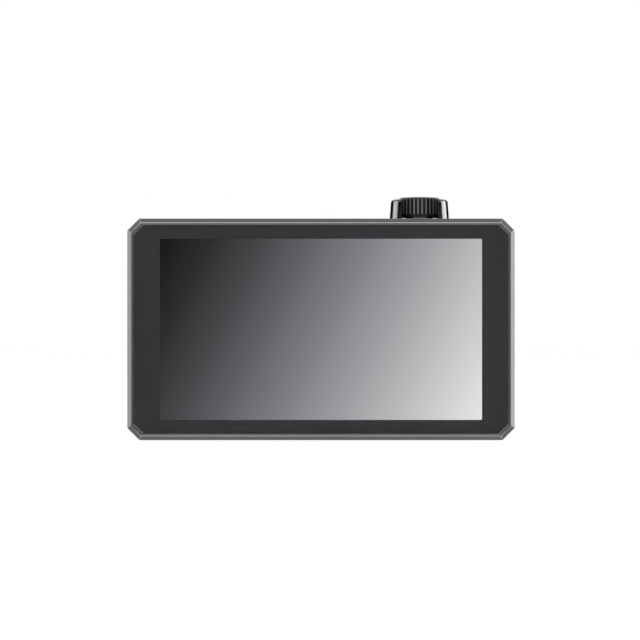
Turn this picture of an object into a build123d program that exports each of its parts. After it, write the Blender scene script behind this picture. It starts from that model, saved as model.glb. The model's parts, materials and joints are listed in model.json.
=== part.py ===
from build123d import *
import math
import os

# Six inch camera field monitor: a cut-cornered metal housing with a glass front, a row of
# keys and a guarded menu dial on top, ports down the left side, a power key on the right,
# and a battery bay, a fan and four round connectors at the back.
#
# Millimetres. The origin is the mouth of the bottom 1/4-20 thread, +Z is up, the screen
# faces -Y and +X is to the right as seen from the front. A depth is a distance behind the
# front plane. Left and right are as seen from the front.

# Body
body_w = 160.0
body_h = 91.5
body_d = 21.0
corner_cut = 5.0            # legs of the 45 degree corner cuts
back_bevel_d = 3.5          # back edge bevel, along the depth
back_bevel_run = 4.6        # back edge bevel, inwards
thread_setback = 11.7       # front plane to the axis of the mounting threads
rear_wall = 2.0
cavity_cut = 3.0            # corner cuts of the hollow
floor_wall = 1.9            # metal left under the deepest relief of each side

# Front frame, glass and screen
strip_d = 2.1               # sloped outer strip of the front frame
strip_slope = 1.8           # how far the slope runs in
frame_lip = 0.8             # flat lip between the slope and the glass
glass_gap = 0.15
glass_cut = 4.2
glass_setback = 0.1
glass_thick = 1.1
bond_thick = 0.3
panel_side = 9.5            # side faces to the screen module
panel_rise = 5.25           # top and bottom faces to the screen module
panel_gap = 0.25
glass_edge = 0.12           # fine bevel on the glass
tape_inset = 0.6            # edge of the glass to the tape
tape_gap = 0.4
lcd_thick = 1.6
backlight_thick = 3.0
backlight_corner = 1.0
backlight_gap = 0.2         # backlight to the mid plate
tenon_gap = 0.15            # front frame's tenon in the housing

# Inner plates and boards
spreader_thick = 1.0
spreader_cut = 5.0          # corner cuts that clear the corner screws
spreader_lap = 3.5          # reach of the mid plate past the screen module
spreader_rise = 1.6         # over the bottom thread's boss
spreader_drop = 0.6         # under the dial's board
spreader_screw_edge = 1.9
spreader_screw_rise = 12.0
board_thick = 1.2
board_margin = 1.8          # main board edge to the left wall of the cavity
board_end = 14.8            # main board to the right wall
board_rise = 2.6
board_drop = 8.1
board_notch = 1.2           # room round the bottom thread's boss
board_hole_side = 9.5       # left edge to the upper left board screw
board_hole_end = 5.0
board_hole_low = 6.0
board_hole_step = 8.0       # the lower right board screw sits this much higher
board_hole_drop = 3.5
memory_w = 9.0
memory_h = 11.0
memory_t = 1.0
memory_end = 26.0           # right edge to the memory's second column
memory_pitch = 16.0
memory_low = 24.0
memory_rise = 14.0
coil_w = 8.0
coil_t = 3.2
coil_end = 22.0             # right edge to the first coil
coil_drop = 18.0
key_board_thick = 1.2
key_board_lap = 2.4         # past the posts
key_board_front = 4.2       # in front of the keys' middle
key_board_back = 4.6
power_board_lap = 2.2       # below the lower post
power_board_rise = 1.4      # above the upper post
power_board_front = 3.2
power_board_back = 4.2
lamp_chip_w = 1.6
lamp_chip_h = 2.2
lamp_chip_t = 0.2
dial_board_lap = 0.6        # past the encoder
dial_board_reach = 1.2      # past the mode key
flex_thick = 0.2
flex_w = 28.0
flex_end = 16.0             # main board's right edge to the ribbon
flex_gap = 0.6              # under the mid plate
flex_drop = 2.0
flex_lap = 6.0              # up the main board

# Screws
screw_r = 1.0
screw_gap = 0.05
screw_head_r = 1.8
screw_head_h = 1.1
small_head_r = 1.4
pan_head_r = 1.5
pan_head_h = 0.9
screw_bite = 3.0            # corner screws into the front frame
spreader_bite = 2.2
screw_tip_gap = 0.8         # end of a screw to the floor of its boss
plate_screw_l = 4.0
plate_screw_side = 6.0      # edge of the bay to the plate screws
plate_screw_low = 3.0
plate_screw_drop = 4.0
plate_boss_r = 2.4
cover_screw_l = 8.2
cover_boss_r = 2.2
corner_screw_post_r = 2.75
corner_post_inset = 3.2     # cavity walls to the corner screws
corner_post_rise = 3.9      # cavity floor to the lower corner screws
corner_post_drop = 3.6      # cavity roof to the upper corner screws
post_tip_gap = 0.6          # end of a post's hole to the wall
root_lap = 0.3              # how far a boss or rib runs into the wall it stands on

# Key row on top, left of centre
key_w = 7.4
key_l = 5.3
key_gap = 0.5
key_corner = 1.0            # corners of the openings
cap_corner = 0.7
key_pitch = 12.0
key_count = 3
key_row_back = 7.8          # back plane to the key row
first_key_inset = 24.1      # left face to the first key
key_recess = 1.5
key_recess_slope = 1.3
key_recess_start = 6.7
key_recess_inset = 8.6      # left face to the recess
key_recess_end = 14.9       # last key to the recess's inner end
key_proud = 0.8
key_bevel = 0.35
key_post_first = 8.7        # first key to its board's post
key_post_last = 8.3         # last key to the other post

# Mode key beside the dial
mode_inset = 18.5           # right face to the key
mode_back = 7.85            # back plane to the key
mode_w = 7.6
mode_l = 5.9
mode_gap = 0.4
mode_proud = 0.1
dish_r = 6.7
dish_sag = 0.9

# What every key shares
key_travel = 0.4
key_rest_gap = 0.3          # flange to the wall it stops against
flange_lap = 0.6
flange_thick = 1.2
stem_r = 1.2
stem_l = 0.9
switch_w = 4.2
switch_h = 0.9
plunger_r = 1.0
plunger_h = 0.3
press_margin = 0.1          # stem to plunger with the key pushed in
post_r = 2.0

# Menu dial and its guard
dial_inset = 39.0           # right face to the dial's axis
dial_back = 7.3             # back plane to the dial's axis
dial_r = 9.1
dial_band_r = 8.7
dial_top_r = 7.6
dial_low = 0.7              # underside above the top face
dial_band_h = 1.2
dial_h = 9.0                # top above the top face
dial_bevel = 0.9
rib_teeth = 34
tooth_depth = 0.45
tooth_crest = 0.16          # half widths, as shares of the pitch
tooth_foot = 0.30
dial_skirt_r = 7.0          # hollow under the dial
dial_skirt_h = 1.6
dial_press = 0.5
dial_roof = 1.3             # over the shaft's bore
shaft_tip_gap = 0.1
shaft_collar = 1.0          # round length of shaft above the bushing
shaft_flat_gap = 0.2
shaft_r = 3.0
shaft_flat = 1.5            # depth of the flat on the shaft
shaft_gap = 0.05
bushing_r = 3.5
bushing_gap = 0.2
bushing_proud = 1.0
encoder_w = 10.4
encoder_h = 5.5
encoder_wall = 1.0
encoder_top_gap = 0.3
encoder_room = 1.1          # round the encoder in its pocket
encoder_pocket = 3.0        # depth of the pocket in the back wall
slider_r = 4.3
slider_h = 1.0
slider_gap = 0.1
slider_room = 0.3           # round the disc in its case
collar_r = 4.2
collar_h = 1.4
nut_r = 5.4
nut_h = 1.1
guard_r = 12.35
guard_top_r = 11.75
guard_bore_r = 9.9
guard_h = 8.2
guard_flat = 8.8            # half length between its flat ends
guard_opening = 7.6         # half width of the open front and back
guard_plate = 0.8
guard_round = 1.4
guard_seat_gap = 0.05
dial_block_lap = 2.05       # block past the guard, towards the bay
dial_block_outer = 11.5     # right face to the block's outer end
dial_block_h = 11.5
dial_block_round = 2.4
dial_block_edge = 0.6

# Power key, lamp and vents on the right side
power_key_drop = 19.6       # top face to the key
power_key_back = 7.4        # back plane to the key
power_key_w = 8.5
power_key_h = 10.7
power_key_gap = 0.25
power_recess = 1.0
power_recess_drop = 8.2     # top face to the recess
power_recess_l = 25.0
power_recess_start = 6.6
power_recess_slope = 0.7
power_mouth_step = 3.0      # the recess narrows where it runs into the back bevel
power_mouth_run = 3.0
power_proud = 0.5
lamp_r = 0.4
lamp_gap = 0.04
lamp_drop = 10.1            # key to the lamp
lamp_lead = 0.9             # the lamp sits this much nearer the front
power_bevel = 0.4
power_corner = 0.6
power_post_low = 3.6        # lamp to the lower post
power_post_rise = 3.0       # key to the upper post
power_floor_wall = 2.2
power_relief_w = 6.0        # room inside for the power key's tabs
power_relief_gap = 0.6
vent_count = 6
vent_first = 10.7
vent_pitch = 4.0
vent_h = 2.4
vent_l = 5.4
vent_bevel_gap = 0.6        # vents to the back bevel
vent_point = 1.1
screen_sheet = 0.4
screen_lap = 1.0            # past the vents

# Port side
port_recess = 2.2
port_recess_low = 9.5
port_recess_drop = 8.4      # top face to the recess
port_recess_start = 6.9
port_end_slope = 3.3
port_front_slope = 1.3
rim_step = 0.3
rim_w = 0.9
video_w = 15.1
video_t = 5.8
video_cut = 1.9
video_l = 11.2
video_gap = 0.3
video_back = 2.8            # back plane to the socket
video_board_gap = 0.8       # socket to the main board
video_in_share = 60.0 / 73.6    # how far up the recess each socket sits
video_out_share = 39.0 / 73.6
jack_share = 22.6 / 73.6
type_c_share = 10.0 / 73.6
video_wall = 0.45
video_tongue_w = 11.6
video_tongue_t = 1.3
video_tongue_lead = 0.4     # the tongue sits nearer the front
type_c_board_gap = 0.2
type_c_w = 8.9
type_c_t = 3.5
type_c_l = 8.2
type_c_wall = 0.35
type_c_tongue_w = 6.6
type_c_tongue_t = 0.7
tongue_setback = 0.8
socket_base = 2.0
jack_board_gap = 0.1
jack_r = 3.1
jack_proud = 0.3
jack_bore_r = 1.78
jack_bore_l = 12.5
jack_l = 11.3               # body behind the wall
jack_w = 6.4
jack_t = 5.2
port_gap = 0.15
port_floor_wall = 2.0
port_hole_l = 2.2           # openings past the recess floor

# Mounting threads
insert_r = 3.55
insert_bore_r = 2.6
insert_l = 6.0
insert_gap = 0.02
insert_floor = 1.6
insert_boss_r = 5.3
slot_l = 19.3
slot_w = 4.3
slot_d = 0.9
boss_skin = 0.5             # faces to the outer end of each boss
boss_room = 0.6
seat_room = 0.2             # seat past the inner end of the insert

# Underside grooves
groove_first = 26.1
groove_pitch = 5.5
groove_w = 3.0
groove_floor_w = 2.2
groove_d = 1.5
groove_start = 8.4
groove_slope = 1.8
groove_lead = 0.5           # how far the groove cutters start outside the face

# Back: battery bay
bay_half_w = 19.5
bay_d = 0.8                 # bay floor below the back plane
shoulder_half_w = 24.6
shoulder_draft = 0.4
relief_h = 2.8              # shoulders and ribs above the back plane
relief_low = 24.4
relief_drop = 8.5           # top face to where the ribs start to slope down
relief_slope = 3.6
plate_top = 62.0
plate_low = 22.2
plate_thick = 1.2
plate_gap = 0.2
rail_low = 25.5
rail_half_w = 23.4
rail_proud = 5.2            # back plane to the rails' crest
rail_edge = 0.5
seat_rise = 1.1             # room below the rails
lug_reach = 0.8
lug_thick = 1.5
lug_l = 10.0
lug_pitch = 19.0
lug_low = 1.0
hump_top = 22.0
hump_proud = 5.4            # back plane to the hump's crest
hump_half_w = 24.5
hump_tip_half_w = 23.8
hump_cut = 2.5
hump_tip_cut = 3.8
hump_wall = 3.0
ramp_drop = 4.0
contact_x = 16.2
contact_thick = 1.6
contact_low = 16.5
contact_top = 24.0
contact_setback = 1.0       # plate to the contacts
contact_l = 1.8
contact_point = 0.7
contact_gap = 0.03
latch_z = 35.0
latch_w = 10.0
latch_h = 7.0
latch_proud = 1.8
latch_travel = 1.7
latch_flange = 1.0
latch_gap = 0.2
latch_sink = 1.3            # bay floor to the front of the flange
spring_room = 1.4           # flange to the pocket's floor with the latch pushed in
latch_wall = 1.2
latch_lip = 0.5
latch_crest = 2.0
spring_thick = 0.25
spring_rise = 0.9
spring_w = 5.0
spring_lap = 0.4

# Back: ribs
fin_first = 27.9
fin_pitch = 5.0
fin_base = 0.85
fin_tip = 0.45
fin_low = 25.2
fin_crest = 0.35            # height of the rounded crest
fin_nose = 0.15
fin_screw_drop = 11.0       # top face to the outermost fins, under the corner screws
fin_cover_gap = 0.5
fin_cover_side = 1.0

# Back: fan
fan_bay_gap = 20.8          # battery bay's shoulder to the fan's axis
fan_drop = 2.0              # below the middle of the body
fan_w = 30.0
fan_t = 6.3
fan_seat_gap = 0.1          # fan to its cover
fan_round = 2.5
fan_gap = 0.4
fan_duct_r = 14.0
fan_tip_gap = 0.6
fan_hub_r = 7.0
fan_base_t = 1.0
fan_base_r = 6.5
fan_spoke_w = 1.6
fan_blades = 7
fan_blade_t = 0.8
fan_blade_l = 10.0          # chord before it is trimmed to the duct
fan_blade_tilt = 50.0
fan_shaft_r = 1.0
fan_shaft_gap = 0.05
fan_peg_r = 1.1
fan_peg_gap = 0.15
fan_peg_l = 2.5
fan_blade_gap = 0.4
fan_shaft_tip = 0.2
fan_hole_offset = 12.4
cover_w = 37.8
cover_h = 36.5
cover_proud = 5.0           # back plane to the cover's face
cover_wall = 1.2
cover_top_slope = 2.4
cover_edge = 0.8
cover_face_edge = 0.4
cover_screw_x = 16.7
cover_screw_z = 16.0
grille_slots = 7
grille_pitch = 3.8
grille_w = 2.0
grille_hub_r = 4.9
grille_rim = 0.5            # ends of the slots to the duct

# Back: round connectors
connector_z = 12.1
connector_bay = 13.5        # hump to the inner connectors
connector_side = 20.0       # side faces to the outer connectors
pocket_r = 8.5
pocket_sink = 3.4           # back plane to the pocket's floor
pocket_floor = 2.0
pocket_boss_r = 10.0
bnc_r = 4.8
bnc_proud = 4.8
bnc_edge = 0.3
bnc_bore_r = 4.1
bnc_lug_r = 1.0
bnc_lug_proud = 1.1
bnc_lug_back = 1.1
bnc_flange_r = 6.3
bnc_flange_t = 1.2
stub_r = 4.0
stub_gap = 0.15
stub_l = 5.2
insulator_r = 3.3
insulator_proud = 1.5
contact_r = 1.1
contact_bore_r = 0.68
pin_proud = 3.6
panel_nut_r = 6.0
panel_nut_t = 1.8
dc_barrel_r = 5.0
dc_flange_r = 6.55
dc_flange_rise = 1.5        # back plane to the flange
dc_flange_t = 1.6
dc_collar_proud = 5.1
dc_nose_r = 3.4
dc_nose_proud = 6.3
dc_bore_r = 2.75
dc_bore_l = 9.0
dc_pin_r = 1.05
dc_pin_setback = 0.8

# Heat sink on the processor
sink_lead = 3.0             # fan's axis to the processor, towards the bay
sink_w = 28.0
sink_h = 26.0
sink_base = 1.0
sink_fin_h = 2.2
sink_fins = 8
sink_fin_t = 0.8
chip_t = 1.6
chip_w = 14.0
chip_cut = 0.6

press_fit = 0.03            # nuts on their threads, cores in their shells
recess_lead = 0.5           # how far the recess cutters start outside the faces

# Worked out from the sizes above
left_face = -body_w / 2
right_face = body_w / 2
mid_z = body_h / 2
panel_w = body_w - 2 * panel_side
panel_h = body_h - 2 * panel_rise
glass_back = glass_setback + glass_thick
lcd_front = glass_back + bond_thick
lcd_back = lcd_front + lcd_thick
backlight_back = lcd_back + backlight_thick
tenon_d = backlight_back + backlight_gap
spreader_back = tenon_d + spreader_thick
video_depth = body_d - video_back - video_t / 2
board_back = video_depth - video_t / 2 - video_board_gap
board_front = board_back - board_thick
bevel_start = body_d - back_bevel_d

cavity_left = left_face + port_recess + port_floor_wall
cavity_right = right_face - power_recess - power_floor_wall
cavity_low = groove_d + floor_wall
cavity_high = body_h - key_recess - floor_wall
cavity_back = body_d - rear_wall
cavity_bevel_start = cavity_back - rear_wall
cavity_bevel_run = back_bevel_run * rear_wall / back_bevel_d

key_depth = body_d - key_row_back
switch_gap = key_travel + press_margin
key_xs = [left_face + first_key_inset + i * key_pitch for i in range(key_count)]
key_flange_top = cavity_high - key_rest_gap
key_stem_end = key_flange_top - flange_thick - stem_l
key_board_top = key_stem_end - switch_gap - plunger_h - switch_h
key_board_posts = [key_xs[0] - key_post_first, key_xs[-1] + key_post_last]
mode_x = right_face - mode_inset
mode_depth = body_d - mode_back

dial_x = right_face - dial_inset
dial_depth = body_d - dial_back
dial_block_left = dial_x - guard_r - dial_block_lap
encoder_top = cavity_high - encoder_top_gap
encoder_low = encoder_top - encoder_h
slider_low = encoder_low + encoder_wall + dial_press + slider_gap
collar_low = slider_low + slider_h + slider_gap
dial_board_top = encoder_low

power_key_z = body_h - power_key_drop
power_key_depth = body_d - power_key_back
power_recess_high = body_h - power_recess_drop
power_recess_low = power_recess_high - power_recess_l
power_stem_end = cavity_right - key_rest_gap - flange_thick - stem_l
power_board_face = power_stem_end - switch_gap - plunger_h - switch_h
lamp_z = power_key_z - lamp_drop
lamp_depth = power_key_depth - lamp_lead
power_board_posts = [lamp_z - power_post_low, power_key_z + power_key_h / 2 + power_post_rise]
vent_end = bevel_start - vent_bevel_gap
vent_start = vent_end - vent_l

port_recess_high = body_h - port_recess_drop
port_recess_l = port_recess_high - port_recess_low
video_in_z = port_recess_low + port_recess_l * video_in_share
video_out_z = port_recess_low + port_recess_l * video_out_share
jack_z = port_recess_low + port_recess_l * jack_share
type_c_z = port_recess_low + port_recess_l * type_c_share
type_c_depth = board_back + type_c_board_gap + type_c_t / 2
jack_depth = board_back + jack_board_gap + jack_t / 2
jack_front = left_face + port_recess

connector_inner = hump_half_w + connector_bay
connector_outer = right_face - connector_side
bncs = [connector_inner, connector_outer]
dc_sockets = [-connector_inner, -connector_outer]

spreader_half_w = panel_w / 2 + spreader_lap
spreader_low = insert_l + insert_floor + spreader_rise
spreader_high = dial_board_top - key_board_thick - spreader_drop
spreader_screws = [
    (side * (spreader_half_w - spreader_screw_edge), z)
    for side in (-1, 1)
    for z in (spreader_low + spreader_screw_rise, spreader_high - spreader_screw_rise)
]
board_left = cavity_left + board_margin
board_right = cavity_right - board_end
board_low = cavity_low + board_rise
board_high = cavity_high - board_drop
board_screw_points = [
    (sum(dc_sockets) / 2, board_low + board_hole_low),
    (board_right - board_hole_end, board_low + board_hole_low + board_hole_step),
    (board_left + board_hole_side, board_high - board_hole_drop),
    (board_right - board_hole_end, board_high - board_hole_drop),
]
corner_posts = [
    (cavity_left + corner_post_inset, cavity_low + corner_post_rise),
    (cavity_right - corner_post_inset, cavity_low + corner_post_rise),
    (cavity_left + corner_post_inset, cavity_high - corner_post_drop),
    (cavity_right - corner_post_inset, cavity_high - corner_post_drop),
]
corner_screw_l = body_d - tenon_d + screw_bite

bay_floor = body_d - bay_d
plate_back = bay_floor + plate_thick
rail_back = body_d + rail_proud
relief_back = body_d + relief_h
relief_top = body_h - relief_drop
fin_screw_room = body_h - fin_screw_drop
hump_back = body_d + hump_proud
contact_start = plate_back + contact_setback
contact_end = contact_start + contact_l
latch_flange_d = bay_floor - latch_sink
latch_pocket_d = latch_flange_d - latch_travel - spring_room
plate_screw_x = bay_half_w - plate_screw_side
plate_screw_points = [(side * plate_screw_x, z) for side in (-1, 1)
                      for z in (rail_low + plate_screw_low, plate_top - plate_screw_drop)]

fan_x = -shoulder_half_w - fan_bay_gap
fan_z = mid_z - fan_drop
chip_x = fan_x + sink_lead
cover_back = body_d + cover_proud
fan_back = cover_back - cover_wall - fan_seat_gap
fan_front = fan_back - fan_t
cover_screw_points = [(fan_x + i * cover_screw_x, fan_z + j * cover_screw_z)
                      for i in (-1, 1) for j in (-1, 1)]

pocket_d = body_d - pocket_sink
stub_end = pocket_d - stub_l
bnc_tip = body_d + bnc_proud
bnc_lug_depth = body_d + bnc_lug_back
insulator_back = body_d + insulator_proud
contact_tip = body_d + pin_proud
dc_flange_start = body_d + dc_flange_rise
dc_flange_end = dc_flange_start + dc_flange_t
dc_collar_end = body_d + dc_collar_proud
dc_nose_end = body_d + dc_nose_proud


def y_at(depth):
    """The y of a point that lies this depth behind the front plane."""
    return depth - thread_setback


def facing(depth):
    """Plane parallel to the screen, drawn on in x and z."""
    return Plane.XZ.offset(-y_at(depth))


def slab(shape, near, far):
    """Solid on an outline in x and z, from depth near to depth far."""
    return extrude(facing(near) * shape, amount=far - near, dir=(0, 1, 0))


def column(shape, low, high):
    """Solid on an outline in x and y, from height low to height high."""
    return extrude(Plane.XY.offset(low) * shape, amount=high - low, dir=(0, 0, 1))


def beam(shape, left, right):
    """Solid on an outline in y and z, from x left to x right."""
    return extrude(Plane.YZ.offset(left) * shape, amount=right - left, dir=(1, 0, 0))


def block(x, depth, z):
    """Box between two values of x, of depth and of z."""
    shape = Rectangle(x[1] - x[0], z[1] - z[0])
    return slab(Pos(sum(x) / 2, sum(z) / 2) * shape, *depth)


def rod(x, z, radius, near, far):
    """Round bar along the depth."""
    return slab(Pos(x, z) * Circle(radius), near, far)


def post(x, depth, radius, low, high):
    """Round bar along the height."""
    return column(Pos(x, y_at(depth)) * Circle(radius), low, high)


def side_rod(depth, z, radius, left, right):
    """Round bar across the width."""
    return beam(Pos(y_at(depth), z) * Circle(radius), left, right)


def side_outline(points):
    """Outline in y and z from points given as depth and z."""
    return Polygon(*[(y_at(depth), z) for depth, z in points], align=None)


def cut_rectangle(width, height, cut, x=0, z=0):
    """Rectangle with four 45 degree corner cuts."""
    return Pos(x, z) * chamfer(Rectangle(width, height).vertices(), cut)


def outline(inset):
    """Body outline from the front, every side moved in by inset."""
    cut = corner_cut - inset * (2 - math.sqrt(2))
    return cut_rectangle(body_w - 2 * inset, body_h - 2 * inset, cut, z=mid_z)


def cavity_outline(inset):
    """Outline of the hollow behind the front frame, every side moved in by inset."""
    width = cavity_right - cavity_left - 2 * inset
    height = cavity_high - cavity_low - 2 * inset
    cut = cavity_cut - inset * (2 - math.sqrt(2))
    middle = ((cavity_left + cavity_right) / 2, (cavity_low + cavity_high) / 2)
    return cut_rectangle(width, height, cut, *middle)


def glass_outline(inset):
    """Outline of the cover glass, every side moved in by inset."""
    margin = strip_slope + frame_lip + glass_gap + inset
    cut = glass_cut - inset * (2 - math.sqrt(2))
    return cut_rectangle(body_w - 2 * margin, body_h - 2 * margin, cut, z=mid_z)


def panel_outline(grow=0.0):
    """Outline of the screen module."""
    return Pos(0, mid_z) * Rectangle(panel_w + 2 * grow, panel_h + 2 * grow)


def screw(x, z, head_back, length, head_r=screw_head_r):
    """Flat-headed screw driven forward, its head flush at depth head_back."""
    head = rod(x, z, head_r, head_back - screw_head_h, head_back)
    return head + rod(x, z, screw_r, head_back - length, head_back - screw_head_h)


def screw_hole(x, z, head_back, length, head_r=screw_head_r):
    """Hole that the screw fits."""
    grown = screw_gap
    head = rod(x, z, head_r + grown, head_back - screw_head_h - grown, head_back + 1)
    return head + rod(x, z, screw_r + grown, head_back - length - grown, head_back)


def four_corners(width, height, x=0.0, z=0.0):
    """The four points half this width and height away from a middle."""
    return [(x + i * width / 2, z + j * height / 2) for i in (-1, 1) for j in (-1, 1)]


# ------------------------------------------------------------------ front assembly


def front_frame():
    """Metal ring: sloped strip outside, rebate for the glass, tenon into the housing."""
    strip = loft([facing(0) * outline(strip_slope), facing(strip_d) * outline(0)], ruled=True)
    ring = strip + slab(cavity_outline(tenon_gap), strip_d, tenon_d)
    ring -= slab(glass_outline(-glass_gap), -1, lcd_front)
    ring -= slab(panel_outline(panel_gap), 0, tenon_d + 1)
    for x, z in corner_posts:
        ring -= rod(x, z, screw_r + screw_gap, lcd_front + 1, tenon_d + 1)
    for x, z in spreader_screws:
        ring -= rod(x, z, screw_r + screw_gap, lcd_front + 1, tenon_d + 1)
    return ring


def cover_glass():
    """Flat cut-cornered glass with a fine bevel on its front edge."""
    pane = slab(glass_outline(0), glass_setback, glass_back)
    return chamfer(pane.faces().sort_by(Axis.Y)[0].edges(), glass_edge)


def glass_adhesive():
    """Foam tape ring between the glass and the rebate."""
    tape = slab(glass_outline(tape_inset), glass_back, lcd_front)
    return tape - slab(panel_outline(panel_gap + tape_gap), glass_back - 1, lcd_front + 1)


def lcd_panel():
    """Liquid crystal cell, bonded behind the glass."""
    return slab(panel_outline(), lcd_front, lcd_back)


def backlight_unit():
    """Backlight tray with turned-in corners."""
    tray = slab(panel_outline(), lcd_back, backlight_back)
    return chamfer(tray.edges().filter_by(Axis.Y), backlight_corner)


def heat_spreader():
    """Aluminium mid plate behind the backlight, with standoffs for the main board."""
    height = spreader_high - spreader_low
    shape = cut_rectangle(2 * spreader_half_w, height, spreader_cut, z=spreader_low + height / 2)
    plate = slab(shape, tenon_d, spreader_back)
    boss_x = right_face - insert_l - insert_floor
    room = insert_boss_r + boss_room
    plate -= block((boss_x - boss_room, right_face), (0, body_d), (mid_z - room, mid_z + room))
    for x, z in board_screw_points:
        plate += rod(x, z, post_r, spreader_back, board_front)
        plate -= rod(x, z, screw_r + screw_gap, tenon_d, board_front + 1)
    for x, z in spreader_screws:
        plate -= rod(x, z, screw_r + screw_gap, 0, body_d)
    return plate


def main_board():
    """Main circuit board with its processor, memory and power parts on the back."""
    board = block((board_left, board_right), (board_front, board_back), (board_low, board_high))
    boss = insert_boss_r + board_notch
    board -= block((-boss, boss), (0, body_d), (0, insert_l + insert_floor + boss_room))
    post_x, post_z = corner_posts[0]
    room = corner_screw_post_r + boss_room
    board -= block((left_face, post_x + room), (0, body_d), (0, post_z + room))
    for x, z in board_screw_points:
        board -= rod(x, z, screw_r + screw_gap, 0, body_d)
    board += slab(cut_rectangle(chip_w, chip_w, chip_cut, chip_x, fan_z), board_back,
                  board_back + chip_t)
    for i in range(3):
        for j in range(2):
            x = board_right - memory_end - i * memory_pitch
            z = board_low + memory_low + j * memory_rise
            part = Pos(x, z) * Rectangle(memory_w, memory_h)
            board += slab(part, board_back, board_back + memory_t)
    for i in range(2):
        coil = Pos(board_right - coil_end - i * memory_pitch, board_high - coil_drop)
        board += slab(coil * Rectangle(coil_w, coil_w), board_back, board_back + coil_t)
    return board


def chip_heatsink():
    """Finned block on the processor, in the fan's draught."""
    low = board_back + chip_t
    sink = slab(Pos(chip_x, fan_z) * Rectangle(sink_w, sink_h), low, low + sink_base)
    step = (sink_w - sink_fin_t) / (sink_fins - 1)
    for i in range(sink_fins):
        x = chip_x - sink_w / 2 + sink_fin_t / 2 + i * step
        fin = Pos(x, fan_z) * Rectangle(sink_fin_t, sink_h)
        sink += slab(fin, low + sink_base, low + sink_base + sink_fin_h)
    return sink


def panel_flex():
    """Ribbon from the backlight's rear face, under the heat spreader, to the main board."""
    low = spreader_low - flex_gap
    foot = low - flex_drop
    top = low + flex_lap
    start = backlight_back
    path = side_outline([
        (start, foot), (start + flex_thick, foot), (start + flex_thick, low - flex_thick),
        (board_front, low - flex_thick), (board_front, top), (board_front - flex_thick, top),
        (board_front - flex_thick, low), (start, low),
    ])
    right = board_right - flex_end
    return beam(path, right - flex_w, right)


# ------------------------------------------------------------------ rear housing


def housing_shell():
    """Cut-cornered box, bevelled round its back and hollowed from the front."""
    body = slab(outline(0), strip_d, bevel_start)
    sections = [facing(bevel_start) * outline(0), facing(body_d) * outline(back_bevel_run)]
    body += loft(sections, ruled=True)
    hollow = slab(cavity_outline(0), strip_d - 1, cavity_bevel_start)
    sections = [facing(cavity_bevel_start) * cavity_outline(0),
                facing(cavity_back) * cavity_outline(cavity_bevel_run)]
    return body - hollow - loft(sections, ruled=True)


def fin_xs():
    """x of every cooling fin on one side of the bay."""
    room = right_face - back_bevel_run - fin_base
    count = int((room - fin_first) / fin_pitch) + 1
    return [fin_first + i * fin_pitch for i in range(count)]


def fin(x, low, high):
    """Upright cooling fin with drafted sides and a narrow crest."""
    base = y_at(body_d) - root_lap
    crest = y_at(relief_back)
    section = Polygon((-fin_base, base), (fin_base, base), (fin_tip + fin_nose, crest - fin_crest),
                      (fin_tip - fin_nose, crest), (fin_nose - fin_tip, crest),
                      (-fin_tip - fin_nose, crest - fin_crest), align=None)
    return column(Pos(x, 0) * section, low, high)


def back_relief():
    """Shoulders of the battery bay and the fins, all sloped down at their top."""
    relief_high = relief_top + relief_slope
    relief = Part()
    for side in (-1, 1):
        inner = bay_half_w - root_lap
        shoulder = Polygon(
            (inner, y_at(body_d) - root_lap), (shoulder_half_w, y_at(body_d) - root_lap),
            (shoulder_half_w - shoulder_draft, y_at(relief_back)), (inner, y_at(relief_back)),
            align=None)
        solid = column(shoulder, relief_low, relief_high)
        relief += solid if side > 0 else mirror(solid, about=Plane.YZ)
        for x in fin_xs():
            beside_fan = side < 0 and abs(-x - fan_x) < cover_w / 2 + fin_cover_side
            low = fan_z + cover_h / 2 + fin_cover_gap if beside_fan else fin_low
            high = fin_screw_room if x == fin_xs()[-1] else relief_high
            relief += fin(side * x, low, high)
    slope = side_outline([
        (body_d, relief_high), (relief_back, relief_top), (relief_back + 1, relief_top),
        (relief_back + 1, relief_high + 1), (body_d, relief_high + 1)])
    return relief - beam(slope, left_face, right_face)


def hump():
    """Block under the bay that carries the battery contacts, with a sloped upper face."""
    def section(half_w, cut):
        points = [(-half_w, hump_top), (-half_w, cut), (-half_w + cut, 0), (half_w - cut, 0),
                  (half_w, cut), (half_w, hump_top)]
        return Polygon(*points, align=None)
    solid = loft([facing(bevel_start) * section(hump_half_w, hump_cut),
                  facing(hump_back) * section(hump_tip_half_w, hump_tip_cut)], ruled=True)
    ramp = side_outline([
        (plate_back, hump_top), (hump_back, hump_top - ramp_drop),
        (hump_back + 1, hump_top - ramp_drop), (hump_back + 1, hump_top + 1),
        (plate_back, hump_top + 1)])
    return solid - beam(ramp, left_face, right_face)


def dial_block():
    """Thick block behind the top face that takes the encoder, rounded at its lower edge."""
    low = body_h - dial_block_h
    solid = block((dial_block_left, right_face - dial_block_outer),
                  (bevel_start - 1, relief_back), (low, body_h))
    edges = solid.edges().filter_by(Axis.X).group_by(Axis.Z)[0].sort_by(Axis.Y)[-1:]
    solid = fillet(edges, dial_block_round)
    return chamfer(solid.edges().filter_by(Axis.Z).group_by(Axis.Y)[-1], dial_block_edge)


def thread_boss():
    """Boss behind each mounting thread."""
    depth = insert_l + insert_floor
    low = post(0, thread_setback, insert_boss_r, boss_skin, depth)
    high = post(0, thread_setback, insert_boss_r, body_h - depth, body_h - boss_skin)
    side = side_rod(thread_setback, mid_z, insert_boss_r, right_face - depth,
                    right_face - boss_skin)
    return low + high + side


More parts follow.
